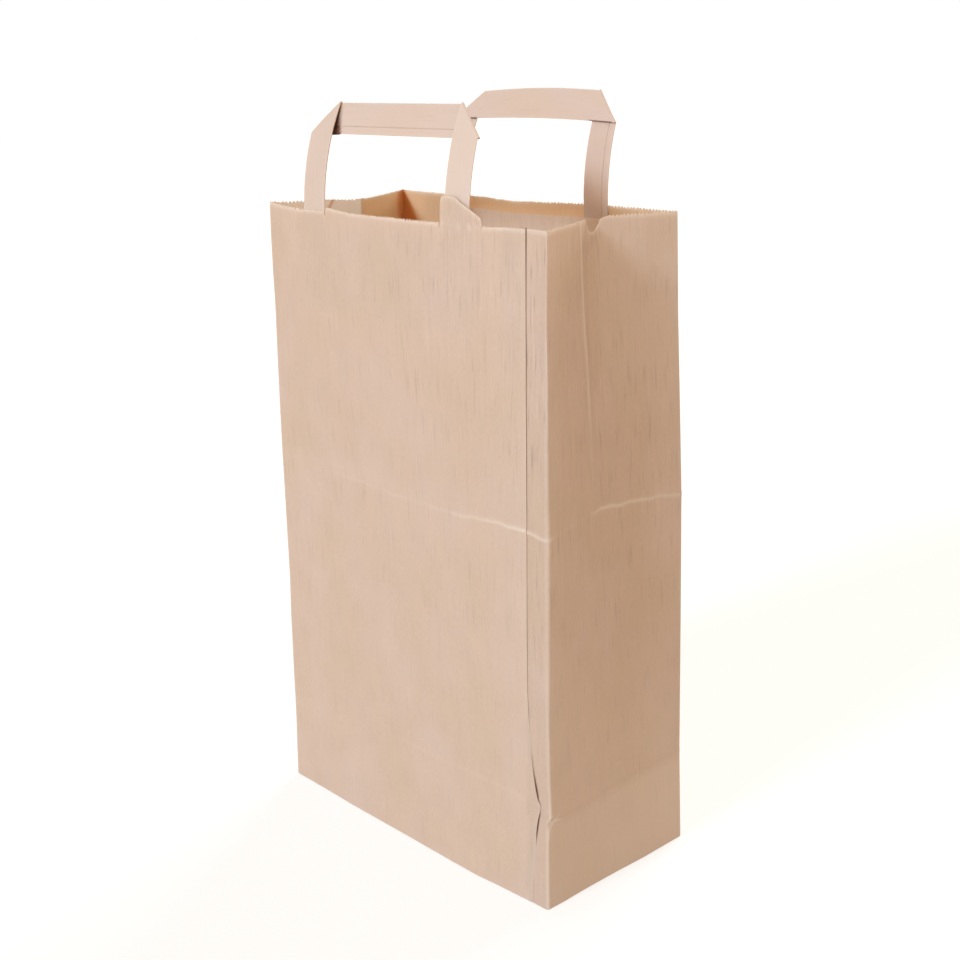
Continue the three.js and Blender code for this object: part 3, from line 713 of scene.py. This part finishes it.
# %% Fold the bag
SHIFT_FROM = 180
SPRING = 13
tube = flat[:, 0].copy()
past_seam = flat[:, 0] - TUBE - SEAM
seam_shift = np.interp(height, SEAM_AT, SEAM_ALONG) - SEAM
tube += seam_shift * soft_step((flat[:, 0] - TUBE - SHIFT_FROM) / (SEAM - SHIFT_FROM))
outer_end = soft_step((past_seam + SPRING) / SPRING) ** 1.5
inner_end = 1 - soft_step((tube - SEAM - 3) / (PANEL_WIDTH - SEAM - 4))
inner_end = np.where(flat[:, 0] < PANEL_WIDTH, inner_end, 0)
seam_shadow = np.interp(height, SEAM_SHADOW_AT, SEAM_SHADOW_DARK)
gap = 0.02 + 0.15 * seam_shadow
relief, wear_and_light = wall_relief(tube, height)
relief += np.interp(height, LIFT_AT, LIFT) * outer_end - (PAPER + gap) * inner_end
points, outward = folded_wall(tube, height)
points += outward * relief[:, None]
points[:, 0] += knocked_corner(tube, height) - left_edge_lean(tube, height)
write_points(bag, points * MM)
print("Rim between", round(points[row > TOP_ROW, 2].min(), 1), "and", round(points[:, 2].max(), 1), "mm")

# %% Layers of the bag
frayed = hump(height - top, 1.4) * chance.uniform(0.8, 1.6, len(flat)) * (row > 2.5)
tight = 1 - np.clip(seam_shadow / 0.3, 0, 1)
# The frayed tips of the rim are rubbed wear; the pale seam edge and the pale line beside its tight part are
# painted highlights.
wear_and_light += frayed + 0.2 * outer_end**4 + 0.7 * tight * soft_step((past_seam + 0.6) / 0.5)
places = np.stack([tube, height, np.zeros_like(tube)], axis=1)
shade = crease_shade(tube, height) + seam_gap_shadow(tube, height) * (flat[:, 0] < PANEL_WIDTH)
write_sheet_places(bag, places, wear_and_light, rib_strength(tube, height), shade)
write_layer(bag, "wear_and_light_inside", np.clip(inner_painted_light(tube, height) + 0.7 * frayed, 0, PALE_LIMIT))
write_layer(bag, "shade_inside", inner_shade(tube, height))
write_layer(bag, "dim_inside", inner_dim(tube, height))
# The pale points counted here are rubbed wear and painted highlights.
print("Rubbed points of the sheet:", int((wear_and_light > 0.5).sum()), "of", len(wear_and_light))

# %% [markdown]
# ## The block bottom
# The foot of each panel is turned in by extruding its edge, as the maker folds it. Loose flaps could be
# laid in, but so the bottom stays one sheet with the walls. The two wide flaps lap over each other by 24
# millimetres and narrow at 45 degrees. The front flap lies lowest, the strip beside the seam and the back
# flap lie on it, and the gusset ends lie above them.

# %% Turn in the flaps
FLAP = 66
SEAM_STEP = 20
BACK_FLAT = 38
BACK_STEP = 4
END_STEP = 3
END_REACH = 58


def turn_in(first, last, steps, narrowing):
    chosen = (row < 1e-6) & (flat[:, 0] > first - 1e-6) & (flat[:, 0] < last + 1e-6)
    added = np.zeros(len(bag.data.vertices) - len(chosen), dtype=bool)
    edit_edges(bag, np.concatenate([chosen, added]))
    for (x, y, z), scale in zip(steps, narrowing):
        shift = (x * MM, y * MM, z * MM)
        bpy.ops.mesh.extrude_region_move(TRANSFORM_OT_translate={"value": shift})
        if scale != (1, 1, 1):
            bpy.ops.transform.resize(value=scale, center_override=(0, 0, 0))
    bpy.ops.object.mode_set(mode="OBJECT")


turn_in(TUBE, TUBE + SEAM, [(0, FLAP, 0)], [(0.4, 1, 1)])
seam_steps = [(0, SEAM_STEP, 0.2), (0, FLAP - SEAM_STEP, 0)]
turn_in(columns[0], PANEL_WIDTH, seam_steps, [(0.82, 1, 1), (0.5, 1, 1)])
back_steps = [(0, -BACK_FLAT, 0), (0, -BACK_STEP, 0.3), (0, BACK_FLAT + BACK_STEP - FLAP, 0)]
back_narrowing = [(0.65, 1, 1), (0.95, 1, 1), (0.65, 1, 1)]
turn_in(PANEL_STARTS[BACK], PANEL_STARTS[LEFT_FAR], back_steps, back_narrowing)
end_narrowing = [(1, 0.97, 1), (1, 0.12, 1)]
turn_in(PANEL_WIDTH, PANEL_STARTS[BACK], [(-END_STEP, 0, 0.4), (-END_REACH, 0, 0)], end_narrowing)
turn_in(PANEL_STARTS[LEFT_FAR], TUBE, [(END_STEP, 0, 0.4), (END_REACH, 0, 0)], end_narrowing)
print("Flaps turned in:", len(bag.data.vertices) - len(flat), "points added")

# %% Give the bag its thickness
for paper_side in ("outside", "inside"):
    bag.data.materials.append(bpy.data.materials.new(paper_side))
thicken(bag, PAPER, -1, inside=1)
smooth_by_angle(bag, 40)
settle(bag, "bag_body")
print("Bag wall and bottom:", len(bag.data.polygons), "faces")

# %% [markdown]
# ## The handles
# A flat handle is one strip of plied paper. Its legs are glued inside the rim, and at the top it is
# folded over at 45 degrees into the crossbar, which so shows its other face. A curve with a bevel would
# twist at such a fold, so the strip is a sheet whose cross lines are set one by one. The legs curve over
# as far as the photograph shows, and the front left fold has sprung open. The last ply ends short of one
# edge as a thin step, about a millimetre nearer that edge than in the CAD model, which is where the
# photograph shows it.

# %% Panel frames
def panel_frame(panel, along):
    def at_leg(side, level):
        place = np.array([PANEL_STARTS[panel] + along + side * HALF_SPAN])
        return sharp_wall(place, np.array([level]))[0][0]

    rim = (at_leg(-1, PANEL_HEIGHT) + at_leg(1, PANEL_HEIGHT)) / 2
    below = (at_leg(-1, STIFF_LINE) + at_leg(1, STIFF_LINE)) / 2
    x = at_leg(1, PANEL_HEIGHT) - rim
    x /= np.linalg.norm(x)
    y = np.cross(rim - below, x)
    y /= np.linalg.norm(y)
    return rim, np.stack([x, y, np.cross(x, y)])


FRONT_FRAME = panel_frame(FRONT, FRONT_HANDLE_AT)
BACK_FRAME = panel_frame(BACK, BACK_HANDLE_AT)
print("Handles stand at", FRONT_FRAME[0].round(1).tolist(), "and", BACK_FRAME[0].round(1).tolist())

# %% Cross lines of a handle strip
FOLD_RADIUS = 0.65
GLUED_LINES = 10
LEG_LINES = 14
FOLD_LINES = 9
BAR_LINES = 59
FIRST_FOLD_LINE = GLUED_LINES + LEG_LINES
FIRST_BAR_LINE = FIRST_FOLD_LINE + FOLD_LINES


def strip_lines(left_fold, arch):
    low = HANDLE_RISE - STRIP_WIDTH
    inner_x = HALF_SPAN - STRIP_WIDTH
    leg = [((HALF_SPAN, v, 0), (inner_x, v, 0)) for v in np.linspace(-HANDLE_GLUED, -4, GLUED_LINES)]
    for share in np.linspace(0, 1, LEG_LINES + 1)[:-1]:
        leg.append(((HALF_SPAN, share * low, 0), (inner_x, share * HANDLE_RISE, 0)))

    def fold(radius):
        lines = []
        for turn in np.linspace(0, math.pi, FOLD_LINES):
            reach = FOLD_RADIUS * (math.sin(turn) / math.sqrt(2))
            layer = 1 - math.cos(turn)
            outer = (HALF_SPAN + reach, low + reach, radius * layer)
            inner = (inner_x + reach, HANDLE_RISE + reach, FOLD_RADIUS * layer)
            lines.append((outer, inner))
        return lines

    def mirrored(lines):
        return [((-a[0], a[1], a[2]), (-b[0], b[1], b[2])) for a, b in lines]

    bar = []
    behind = 2 * FOLD_RADIUS
    for share in np.linspace(0, 1, BAR_LINES + 2)[1:-1]:
        lift = arch * math.sin(math.pi * share)
        across = 2 * share - 1
        bar.append(((across * HALF_SPAN, low + lift, behind), (across * inner_x, HANDLE_RISE + lift, behind)))
    return mirrored(leg) + mirrored(fold(left_fold)) + bar + fold(FOLD_RADIUS)[::-1] + leg[::-1]


print("A handle strip has", len(strip_lines(FOLD_RADIUS, 0)), "cross lines")

# %% Curl and sprung fold
POCKET_BEND = -40.9
POCKET_SLANT = 6.2
POCKET_REACH = 23.6
POCKET_TAPER = 23.3


def sprung_pocket(x, v, left_fold):
    up = np.clip((v - HANDLE_RISE + STRIP_WIDTH) / STRIP_WIDTH, 0, 1)
    bend = POCKET_BEND - POCKET_SLANT * up
    past = np.clip((bend - x) / (POCKET_REACH - POCKET_TAPER * up), 0, 1)
    depth = 2 * (left_fold - FOLD_RADIUS) * (1 - up) * np.interp(past, [0, 0.19, 1], [0, 0.46, 1])
    # dark is painted shadow inside the sprung pocket.
    dark = soft_step((bend - x) / 1.5) * (1 - 0.5 * up)
    return depth, dark


def curl(x, v, layer, lean_left, lean_right):
    lean = np.radians(lean_left + (lean_right - lean_left) * (x / (2 * HALF_SPAN) + 0.5))
    half = lean * np.maximum(v, 0) / HANDLE_RISE / 2
    chord = np.where(half == 0, v, v * np.sin(half) / np.where(half == 0, 1, half))
    inwards = PAPER + GLUE + STRIP / 2 + layer
    y = chord * np.sin(half) + inwards * np.cos(2 * half)
    z = chord * np.cos(half) - inwards * np.sin(2 * half)
    return np.stack([x, y, z], axis=1)


# %% One ply of a handle
HANDLE_GRAIN_AT = 50.0


def strip_tones(cross, share, line, count, dark, sprung, raised):
    on_bar = (line >= FIRST_BAR_LINE) & (line < count - FIRST_BAR_LINE)
    wear_and_light = np.zeros(len(line))
    # Painted highlights on the strip's folds and edges; the right leg of the sprung handle is painted paler.
    fold_middle = FIRST_FOLD_LINE + FOLD_LINES // 2
    for corner in (fold_middle, count - 1 - fold_middle):
        wear_and_light += 0.4 * hump(line - corner, 2.5)
    wear_and_light += 0.35 * sprung * (cross[:, 0] > 0) * ~on_bar
    wear_and_light += 0.35 * np.maximum(hump(share, 0.03), hump(share - 1, 0.03))
    # Painted shadow: a thin line below the last ply's edge, shade at the foot of the back handle's legs, a
    # dark line under the crossbar over each leg, and the dark of the sprung pocket.
    lap_shadow = 0.2 * (1 - soft_step((share - LAP_EDGE - 0.01) / 0.03)) * (raised > 0)
    low_leg_shade = 0.12 * soft_step((4 - cross[:, 1]) / 9) * (not sprung)
    over_leg = on_bar * (not sprung) * (np.abs(cross[:, 0]) > HALF_SPAN - STRIP_WIDTH)
    gap_shadow = 0.85 * over_leg * (1 - soft_step((share - 0.012) / 0.02))
    shade = dark * on_bar * sprung + lap_shadow + low_leg_shade + gap_shadow
    return wear_and_light, np.clip(shade, 0, 1)


def strip_ply(name, lines, shares, leans, left_fold, shift, place_frame, raised):
    piece = flat_sheet(name, shares, np.arange(len(lines)))
    flat_points = read_points(piece)
    share = flat_points[:, 0]
    line = np.rint(flat_points[:, 1]).astype(int)
    outer = np.array([a for a, _ in lines], dtype=float)
    inner = np.array([b for _, b in lines], dtype=float)
    middle = np.array([curl(*part[:, None], *leans)[0] for part in (outer + inner) / 2])
    length = np.concatenate([[0], np.cumsum(np.linalg.norm(np.diff(middle, axis=0), axis=1))])
    cross = outer[line] + (inner - outer)[line] * share[:, None]
    depth, dark = sprung_pocket(cross[:, 0], cross[:, 1], left_fold)
    cross[:, 2] += depth * ((line >= FIRST_BAR_LINE) & (line < len(lines) - FIRST_BAR_LINE))
    local = curl(cross[:, 0], cross[:, 1], cross[:, 2], *leans)
    local[:, 2] += shift
    rim, axes = place_frame
    write_points(piece, (rim + local @ axes) * MM)
    normals = np.empty(3 * len(local), dtype=np.float32)
    piece.data.vertex_normals.foreach_get("vector", normals)
    write_points(piece, read_points(piece) - raised * MM * normals.reshape(-1, 3))
    wear_and_light, shade = strip_tones(cross, share, line, len(lines), dark, left_fold > FOLD_RADIUS, raised)
    places = np.stack([share * STRIP_WIDTH, length[line], np.full(len(line), HANDLE_GRAIN_AT)], axis=1)
    write_sheet_places(piece, places, wear_and_light, 1.0, shade)
    return piece


# %% Both handles
MIDDLE_SHARES = [0.29, 0.37, 0.46, 0.55, 0.64, 0.73, 0.82, 0.9, 0.96, 0.985]
STRIP_SHARES = [0, 0.015, 0.04, 0.1, 0.17, LAP_EDGE, *MIDDLE_SHARES, 1]
LAP_SHARES = [LAP_EDGE, 0.24, 0.255, 0.27, *MIDDLE_SHARES, 0.995]


def folded_handle(name, node, leans, left_fold, arch, shift, place_frame):
    lines = strip_lines(left_fold, arch)
    strip = strip_ply(name, lines, STRIP_SHARES, leans, left_fold, shift, place_frame, 0)
    thicken(strip, STRIP, 0)
    raised = STRIP / 2 + LAP_PLY / 2
    lap = strip_ply(name + "_last_ply", lines, LAP_SHARES, leans, left_fold, shift, place_frame, raised)
    thicken(lap, LAP_PLY, 0)
    pick_only(strip)
    lap.select_set(True)
    bpy.ops.object.join()
    face_outwards(strip)
    smooth_by_angle(strip, 50)
    settle(strip, node)
    print(name, "has", len(strip.data.polygons), "faces")
    return strip


front_handle = folded_handle(
    "front_handle_strip", "front_handle", leans=(28, 25), left_fold=2.6, arch=0, shift=-0.5,
    place_frame=FRONT_FRAME,
)
back_handle = folded_handle(
    "back_handle_strip", "back_handle", leans=(-27, -38), left_fold=FOLD_RADIUS, arch=1.6, shift=0.5,
    place_frame=BACK_FRAME,
)

# %% [markdown]
# ## The patches
# A patch of the same kraft is glued over both legs inside the rim. A Shrinkwrap modifier could press it
# on, but the wall's own formula is at hand, so the patch follows that and steps up over the legs.

# %% Patches inside the rim
PATCH_GRAIN_AT = (300, 90.0)
PATCH_ROWS = [0, 0.4, 2, 5, 10, 16, 22, 28, 34, 40, PATCH_HEIGHT - 2, PATCH_HEIGHT - 0.4, PATCH_HEIGHT]


def glued_patch(name, node, start, along):
    over = STRIP + LAP_PLY + GLUE
    inner = HALF_SPAN - STRIP_WIDTH
    jogs = [-HALF_SPAN - 1.7, -HALF_SPAN - 0.2, -inner + 0.2, -inner + 1.7]
    across = [-PATCH_HALF, *jogs, *[-x for x in jogs[::-1]], PATCH_HALF]
    rises = [0, 0, over, over, 0, 0, over, over, 0, 0]
    spread = np.unique(np.round(np.concatenate([across, np.linspace(-PATCH_HALF, PATCH_HALF, 60)]), 3))
    piece = flat_sheet(name, spread, -PATCH_DROP - np.array(PATCH_ROWS))
    local = read_points(piece)
    x = local[:, 0]
    height = PANEL_HEIGHT + local[:, 1]
    tube = start + along + x
    relief, _ = wall_relief(tube, height)
    points, outward = folded_wall(tube, height)
    rise = np.interp(x, across, rises)
    stand_off = relief - PAPER - GLUE - rise - PAPER / 2
    write_points(piece, (points + outward * stand_off[:, None]) * MM)
    edge = np.maximum(hump(local[:, 1] + PATCH_DROP, 0.8), hump(np.abs(x) - PATCH_HALF, 0.8))
    aside, deep = PATCH_GRAIN_AT
    places = np.stack([x + aside, local[:, 1], np.full(len(x), deep)], axis=1)
    write_sheet_places(piece, places, 0.4 * edge)
    thicken(piece, PAPER, 0)
    face_outwards(piece)
    smooth_by_angle(piece, 40)
    settle(piece, node)
    return piece


front_patch = glued_patch("front_patch_sheet", "front_patch", TUBE, FRONT_HANDLE_AT)
back_patch = glued_patch("back_patch_sheet", "back_patch", PANEL_STARTS[BACK], BACK_HANDLE_AT)
print("Patches:", len(front_patch.data.polygons), "and", len(back_patch.data.polygons), "faces")

# %% [markdown]
# ## Paper
# Machine-made kraft has upright ribs from the felt, a soft cloudiness where the fibres bunch, and short
# fibres that catch the light. An image could show them, but one group of nodes makes the grain of all the
# papers from noise that is stretched along the sheet, so it needs no file and turns with every fold.

# %% Node helpers
def feed(tree, node, feeds):
    for socket, value in feeds.items():
        if isinstance(value, bpy.types.NodeSocket):
            tree.links.new(value, node.inputs[socket])
        else:
            node.inputs[socket].default_value = value


def add_node(tree, kind, feeds=None, **settings):
    node = tree.nodes.new(kind)
    for key, value in settings.items():
        setattr(node, key, value)
    feed(tree, node, feeds or {})
    return node


def reckoned(tree, operation, *values):
    return add_node(tree, "ShaderNodeMath", dict(enumerate(values)), operation=operation).outputs[0]


def weighed(tree, value, middle, weight, onto=0.0):
    return reckoned(tree, "MULTIPLY_ADD", reckoned(tree, "SUBTRACT", value, middle), weight, onto)


def mixed(tree, factor, first, second):
    feeds = {"Factor": factor, "A": first, "B": second}
    return add_node(tree, "ShaderNodeMix", feeds, data_type="RGBA").outputs["Result"]


def peaks(tree, value, start, full):
    feeds = {"Value": value, "From Min": start, "From Max": full}
    return add_node(tree, "ShaderNodeMapRange", feeds).outputs["Result"]


def stretched_noise(tree, place, stretch, detail, roughness):
    scaled = add_node(tree, "ShaderNodeVectorMath", {0: place, 1: stretch}, operation="MULTIPLY")
    feeds = {"Vector": scaled.outputs["Vector"], "Scale": 1.0, "Detail": detail, "Roughness": roughness}
    return add_node(tree, "ShaderNodeTexNoise", feeds).outputs["Fac"]


# %% Paper grain
def make_grain_group():
    group = bpy.data.node_groups.new("paper grain", "ShaderNodeTree")
    group.interface.new_socket("Sheet", in_out="INPUT", socket_type="NodeSocketVector")
    for name in ("Tone", "Ribs", "Cloud", "Height"):
        group.interface.new_socket(name, in_out="OUTPUT", socket_type="NodeSocketFloat")
    place = add_node(group, "NodeGroupInput").outputs["Sheet"]
    broad = stretched_noise(group, place, (420, 7, 60), 2.0, 0.5)
    fine = stretched_noise(group, place, (1100, 32, 60), 2.0, 0.6)
    cloud = stretched_noise(group, place, (26, 17, 60), 4.0, 0.55)
    fibre = stretched_noise(group, place, (3000, 330, 60), 1.0, 0.5)
    streak = stretched_noise(group, place, (900, 4, 60), 1.0, 0.5)
    dash = stretched_noise(group, place, (800, 42, 60), 1.0, 0.5)
    mottle = stretched_noise(group, place, (75, 48, 60), 2.0, 0.5)
    tone = weighed(group, cloud, 0.5, 0.10)
    tone = weighed(group, mottle, 0.5, 0.09, tone)
    tone = weighed(group, fibre, 0.5, 0.20, tone)
    ribs = weighed(group, broad, 0.5, 0.03)
    ribs = weighed(group, fine, 0.5, 0.04, ribs)
    ribs = weighed(group, streak, 0.5, 0.04, ribs)
    ribs = weighed(group, peaks(group, dash, 0.60, 0.74), 0.0, -0.13, ribs)
    ribs = weighed(group, peaks(group, dash, 0.38, 0.26), 0.0, 0.05, ribs)
    rough = weighed(group, broad, 0.5, 0.8)
    rough = weighed(group, fine, 0.5, 0.5, rough)
    rough = weighed(group, fibre, 0.5, 0.25, rough)
    add_node(group, "NodeGroupOutput", {"Tone": tone, "Ribs": ribs, "Cloud": cloud, "Height": rough})
    return group


PAPER_GRAIN = make_grain_group()
print("The paper grain has", len(PAPER_GRAIN.nodes), "nodes")

# %% [markdown]
# One plain colour would look like painted card, so each paper mixes the grain with the layers of its sheet:
# the pale layer shows rubbed, paler fibres and also painted highlights and painted light, the shade layer is
# painted shade in creases, gaps and under folds, and the dim layer is painted shade that darkens the colour.
# A layer that a sheet lacks reads as nought. Some light also comes through, which a Translucent shader gives.
# The bag has one paper outside and a warmer, more orange one inside, which paints in the light in its mouth
# that has passed through the walls.

# %% Paper materials
# Pale colour for rubbed wear and for painted highlights and painted light; dark colour for painted shade.
PALE_WEAR_AND_LIGHT = (0.93, 0.79, 0.67)
PAINTED_SHADE = (0.16, 0.09, 0.06)
PALE_SHARE = 0.6
SEEN_THROUGH = (1.0, 0.78, 0.53, 1)


def sheet_layer(tree, name):
    return add_node(tree, "ShaderNodeAttribute", attribute_name=name).outputs["Fac"]


def paper_colour(tree, paper, colour, grain, side, pale, deep):
    ribbed = reckoned(tree, "MULTIPLY_ADD", paper["Ribs"], sheet_layer(tree, "ribs"), paper["Tone"])
    gain = reckoned(tree, "MULTIPLY_ADD", ribbed, grain, 1.0)
    lit = reckoned(tree, "SUBTRACT", gain, sheet_layer(tree, "dim" + side))
    yellower = (colour[0], 0.99 * colour[1], 0.955 * colour[2], 1)
    bluer = (colour[0], 1.006 * colour[1], 1.045 * colour[2], 1)
    hue = mixed(tree, peaks(tree, paper["Cloud"], 0.35, 0.65), yellower, bluer)
    toned = add_node(tree, "ShaderNodeVectorMath", {0: hue, "Scale": lit}, operation="SCALE")
    # Mix in the pale layer (rubbed wear and painted highlights), then the shade layer (painted shade).
    pale_amount = reckoned(tree, "MULTIPLY", sheet_layer(tree, "wear_and_light" + side), PALE_SHARE)
    paled = mixed(tree, pale_amount, toned.outputs["Vector"], (*pale, 1))
    return mixed(tree, sheet_layer(tree, "shade" + side), paled, (*deep, 1))


def paper_material(name, colour, grain, bump, glow, side="", pale=PALE_WEAR_AND_LIGHT, deep=PAINTED_SHADE):
    material = bpy.data.materials.new(name)
    material.use_nodes = True
    tree = material.node_tree
    tree.nodes.clear()
    sheet = add_node(tree, "ShaderNodeAttribute", attribute_name="sheet").outputs["Vector"]
    paper = add_node(tree, "ShaderNodeGroup", {"Sheet": sheet}, node_tree=PAPER_GRAIN).outputs
    rough = {"Strength": 0.6, "Distance": bump * MM, "Height": paper["Height"]}
    feeds = {
        "Base Color": paper_colour(tree, paper, colour, grain, side, pale, deep),
        "Roughness": 0.72,
        "Specular IOR Level": 0.3,
        "Normal": add_node(tree, "ShaderNodeBump", rough).outputs["Normal"],
    }
    surface = add_node(tree, "ShaderNodeBsdfPrincipled", feeds).outputs["BSDF"]
    through = add_node(tree, "ShaderNodeBsdfTranslucent", {"Color": SEEN_THROUGH}).outputs["BSDF"]
    both = add_node(tree, "ShaderNodeMixShader", {"Fac": glow, 1: surface, 2: through})
    add_node(tree, "ShaderNodeOutputMaterial", {"Surface": both.outputs["Shader"]})
    return material


# %% Dress the pieces
def dress(piece, *materials):
    while len(piece.data.materials) < len(materials):
        piece.data.materials.append(None)
    for place, material in enumerate(materials):
        piece.data.materials[place] = material


KRAFT = paper_material("kraft paper", (0.74, 0.56, 0.44), grain=1.0, bump=0.05, glow=0.15)
# The inside paper's pale colour is painted light, and its deep colour the orange painted shade of the far
# corner.
KRAFT_INSIDE = paper_material(
    "kraft paper inside", (0.89, 0.64, 0.39), grain=0.6, bump=0.05, glow=0.15, side="_inside",
    pale=(1.0, 0.94, 0.82), deep=(0.7, 0.21, 0.01),
)
# The handle paper's deep colour is painted shadow in its pocket and under its folds.
HANDLE_PAPER = paper_material(
    "handle paper", (0.757, 0.585, 0.488), grain=0.35, bump=0.03, glow=0.06, deep=(0.14, 0.045, 0.02),
)
PATCH_PAPER = paper_material("patch paper", (0.86, 0.68, 0.52), grain=0.9, bump=0.05, glow=0.2)
dress(bag, KRAFT, KRAFT_INSIDE)
for handle in (front_handle, back_handle):
    dress(handle, HANDLE_PAPER)
for patch in (front_patch, back_patch):
    dress(patch, PATCH_PAPER)
print("Papers:", [paper.name for paper in (KRAFT, KRAFT_INSIDE, HANDLE_PAPER, PATCH_PAPER)])

# %% [markdown]
# ## Floor and light
# The bag stands on a plain pale floor in soft light. Area lamps could light it, but two wide suns and an
# even surround light it alike from foot to rim. The key stands low and straight before the front panel, a
# wider lamp behind the bag lights the back and the mouth, and a warm surround fills the rest. The floor
# and the surround are paler to the camera alone, so that the background is white without more light on
# the paper.

# %% Floor
FLOOR_SIZE = 14
FLOOR_DROP = 0.0003
FLOOR_TINTS = {
    "Base Color": ((0.35, 0.32, 0.28, 1), (0.45, 0.45, 0.45, 1)),
    "Emission Color": ((0.41, 0.41, 0.40, 1), (0.64, 0.64, 0.64, 1)),
}
bpy.ops.object.select_all(action="DESELECT")
bpy.ops.mesh.primitive_plane_add(size=FLOOR_SIZE, location=(0, 0, 0))
floor = bpy.context.object
floor.name = "floor"
write_points(floor, read_points(floor) - [0, 0, FLOOR_DROP])
pale = bpy.data.materials.new("pale floor")
pale.use_nodes = True
pale_tree = pale.node_tree
pale_surface = pale_tree.nodes["Principled BSDF"]
feed(pale_tree, pale_surface, {"Roughness": 0.9, "Specular IOR Level": 0.0, "Emission Strength": 1.0})
looked_at = add_node(pale_tree, "ShaderNodeLightPath").outputs["Is Camera Ray"]
for socket, (bounced, seen) in FLOOR_TINTS.items():
    feed(pale_tree, pale_surface, {socket: mixed(pale_tree, looked_at, bounced, seen)})
dress(floor, pale)
print("Floor:", FLOOR_SIZE, "m wide")

# %% Surround
world = bpy.data.worlds.new("soft surround")
bpy.context.scene.world = world
world.use_nodes = True
tree = world.node_tree
tree.nodes.clear()
fill = add_node(tree, "ShaderNodeBackground", {"Color": (1.0, 0.80, 0.60, 1), "Strength": 0.66})
white = add_node(tree, "ShaderNodeBackground", {"Color": (1, 1, 1, 1), "Strength": 1.0})
looked_past = add_node(tree, "ShaderNodeLightPath").outputs["Is Camera Ray"]
views = {"Fac": looked_past, 1: fill.outputs["Background"], 2: white.outputs["Background"]}
either = add_node(tree, "ShaderNodeMixShader", views)
add_node(tree, "ShaderNodeOutputWorld", {"Surface": either.outputs["Shader"]})
print("The surround has", len(tree.nodes), "nodes")

# %% Lamps
def soft_sun(name, toward, strength, spread, colour):
    lamp = bpy.data.lights.new(name, "SUN")
    lamp.energy = strength
    lamp.angle = math.radians(spread)
    lamp.color = colour
    holder = bpy.data.objects.new(name, lamp)
    bpy.context.collection.objects.link(holder)
    direction = np.array(toward) / np.linalg.norm(toward)
    side = np.cross([0, 0, 1], direction)
    side /= np.linalg.norm(side)
    turn = Matrix(np.stack([side, np.cross(direction, side), direction], axis=1).tolist())
    holder.matrix_world = turn.to_4x4()
    print(name, "shines at", strength, "with a spread of", spread, "degrees")


soft_sun("broad_key", toward=(0.0, -0.75, 0.36), strength=1.94, spread=14, colour=(0.635, 0.817, 1.0))
soft_sun("back_kick", toward=(-0.22, 0.86, 0.46), strength=1.85, spread=34, colour=(0.95, 0.92, 0.87))

# %% [markdown]
# ## Camera
# The camera stands where the photograph was taken: to the right of the front, a little above the rim,
# with a slight roll. It could be framed by eye, but three angles, a distance and a lens that fit the
# bag's corners in the photograph place it better.

# %% Camera
def photo_camera():
    azimuth = math.radians(47.839)
    elevation = math.radians(16.265)
    roll = math.radians(-1.456)
    looks_at = np.array([6.895, 0, 205.006])
    distance = 850.54
    back = np.array([math.sin(azimuth), -math.cos(azimuth), 0]) * math.cos(elevation)
    back[2] = math.sin(elevation)
    right = np.array([math.cos(azimuth), math.sin(azimuth), 0])
    up = np.cross(back, right)
    turned_right = right * math.cos(roll) + up * math.sin(roll)
    turned_up = -right * math.sin(roll) + up * math.cos(roll)
    lens = bpy.data.cameras.new("photo_camera")
    lens.sensor_width = 36
    lens.lens = 56.38
    camera = bpy.data.objects.new("photo_camera", lens)
    bpy.context.collection.objects.link(camera)
    matrix = Matrix(np.stack([turned_right, turned_up, back], axis=1).tolist()).to_4x4()
    matrix.translation = (looks_at + back * distance) * MM
    camera.matrix_world = matrix
    bpy.context.scene.camera = camera
    return camera


camera = photo_camera()
print("Camera at", [round(value, 3) for value in camera.matrix_world.translation])

# %% Colour transform
bpy.context.scene.view_settings.view_transform = "Standard"
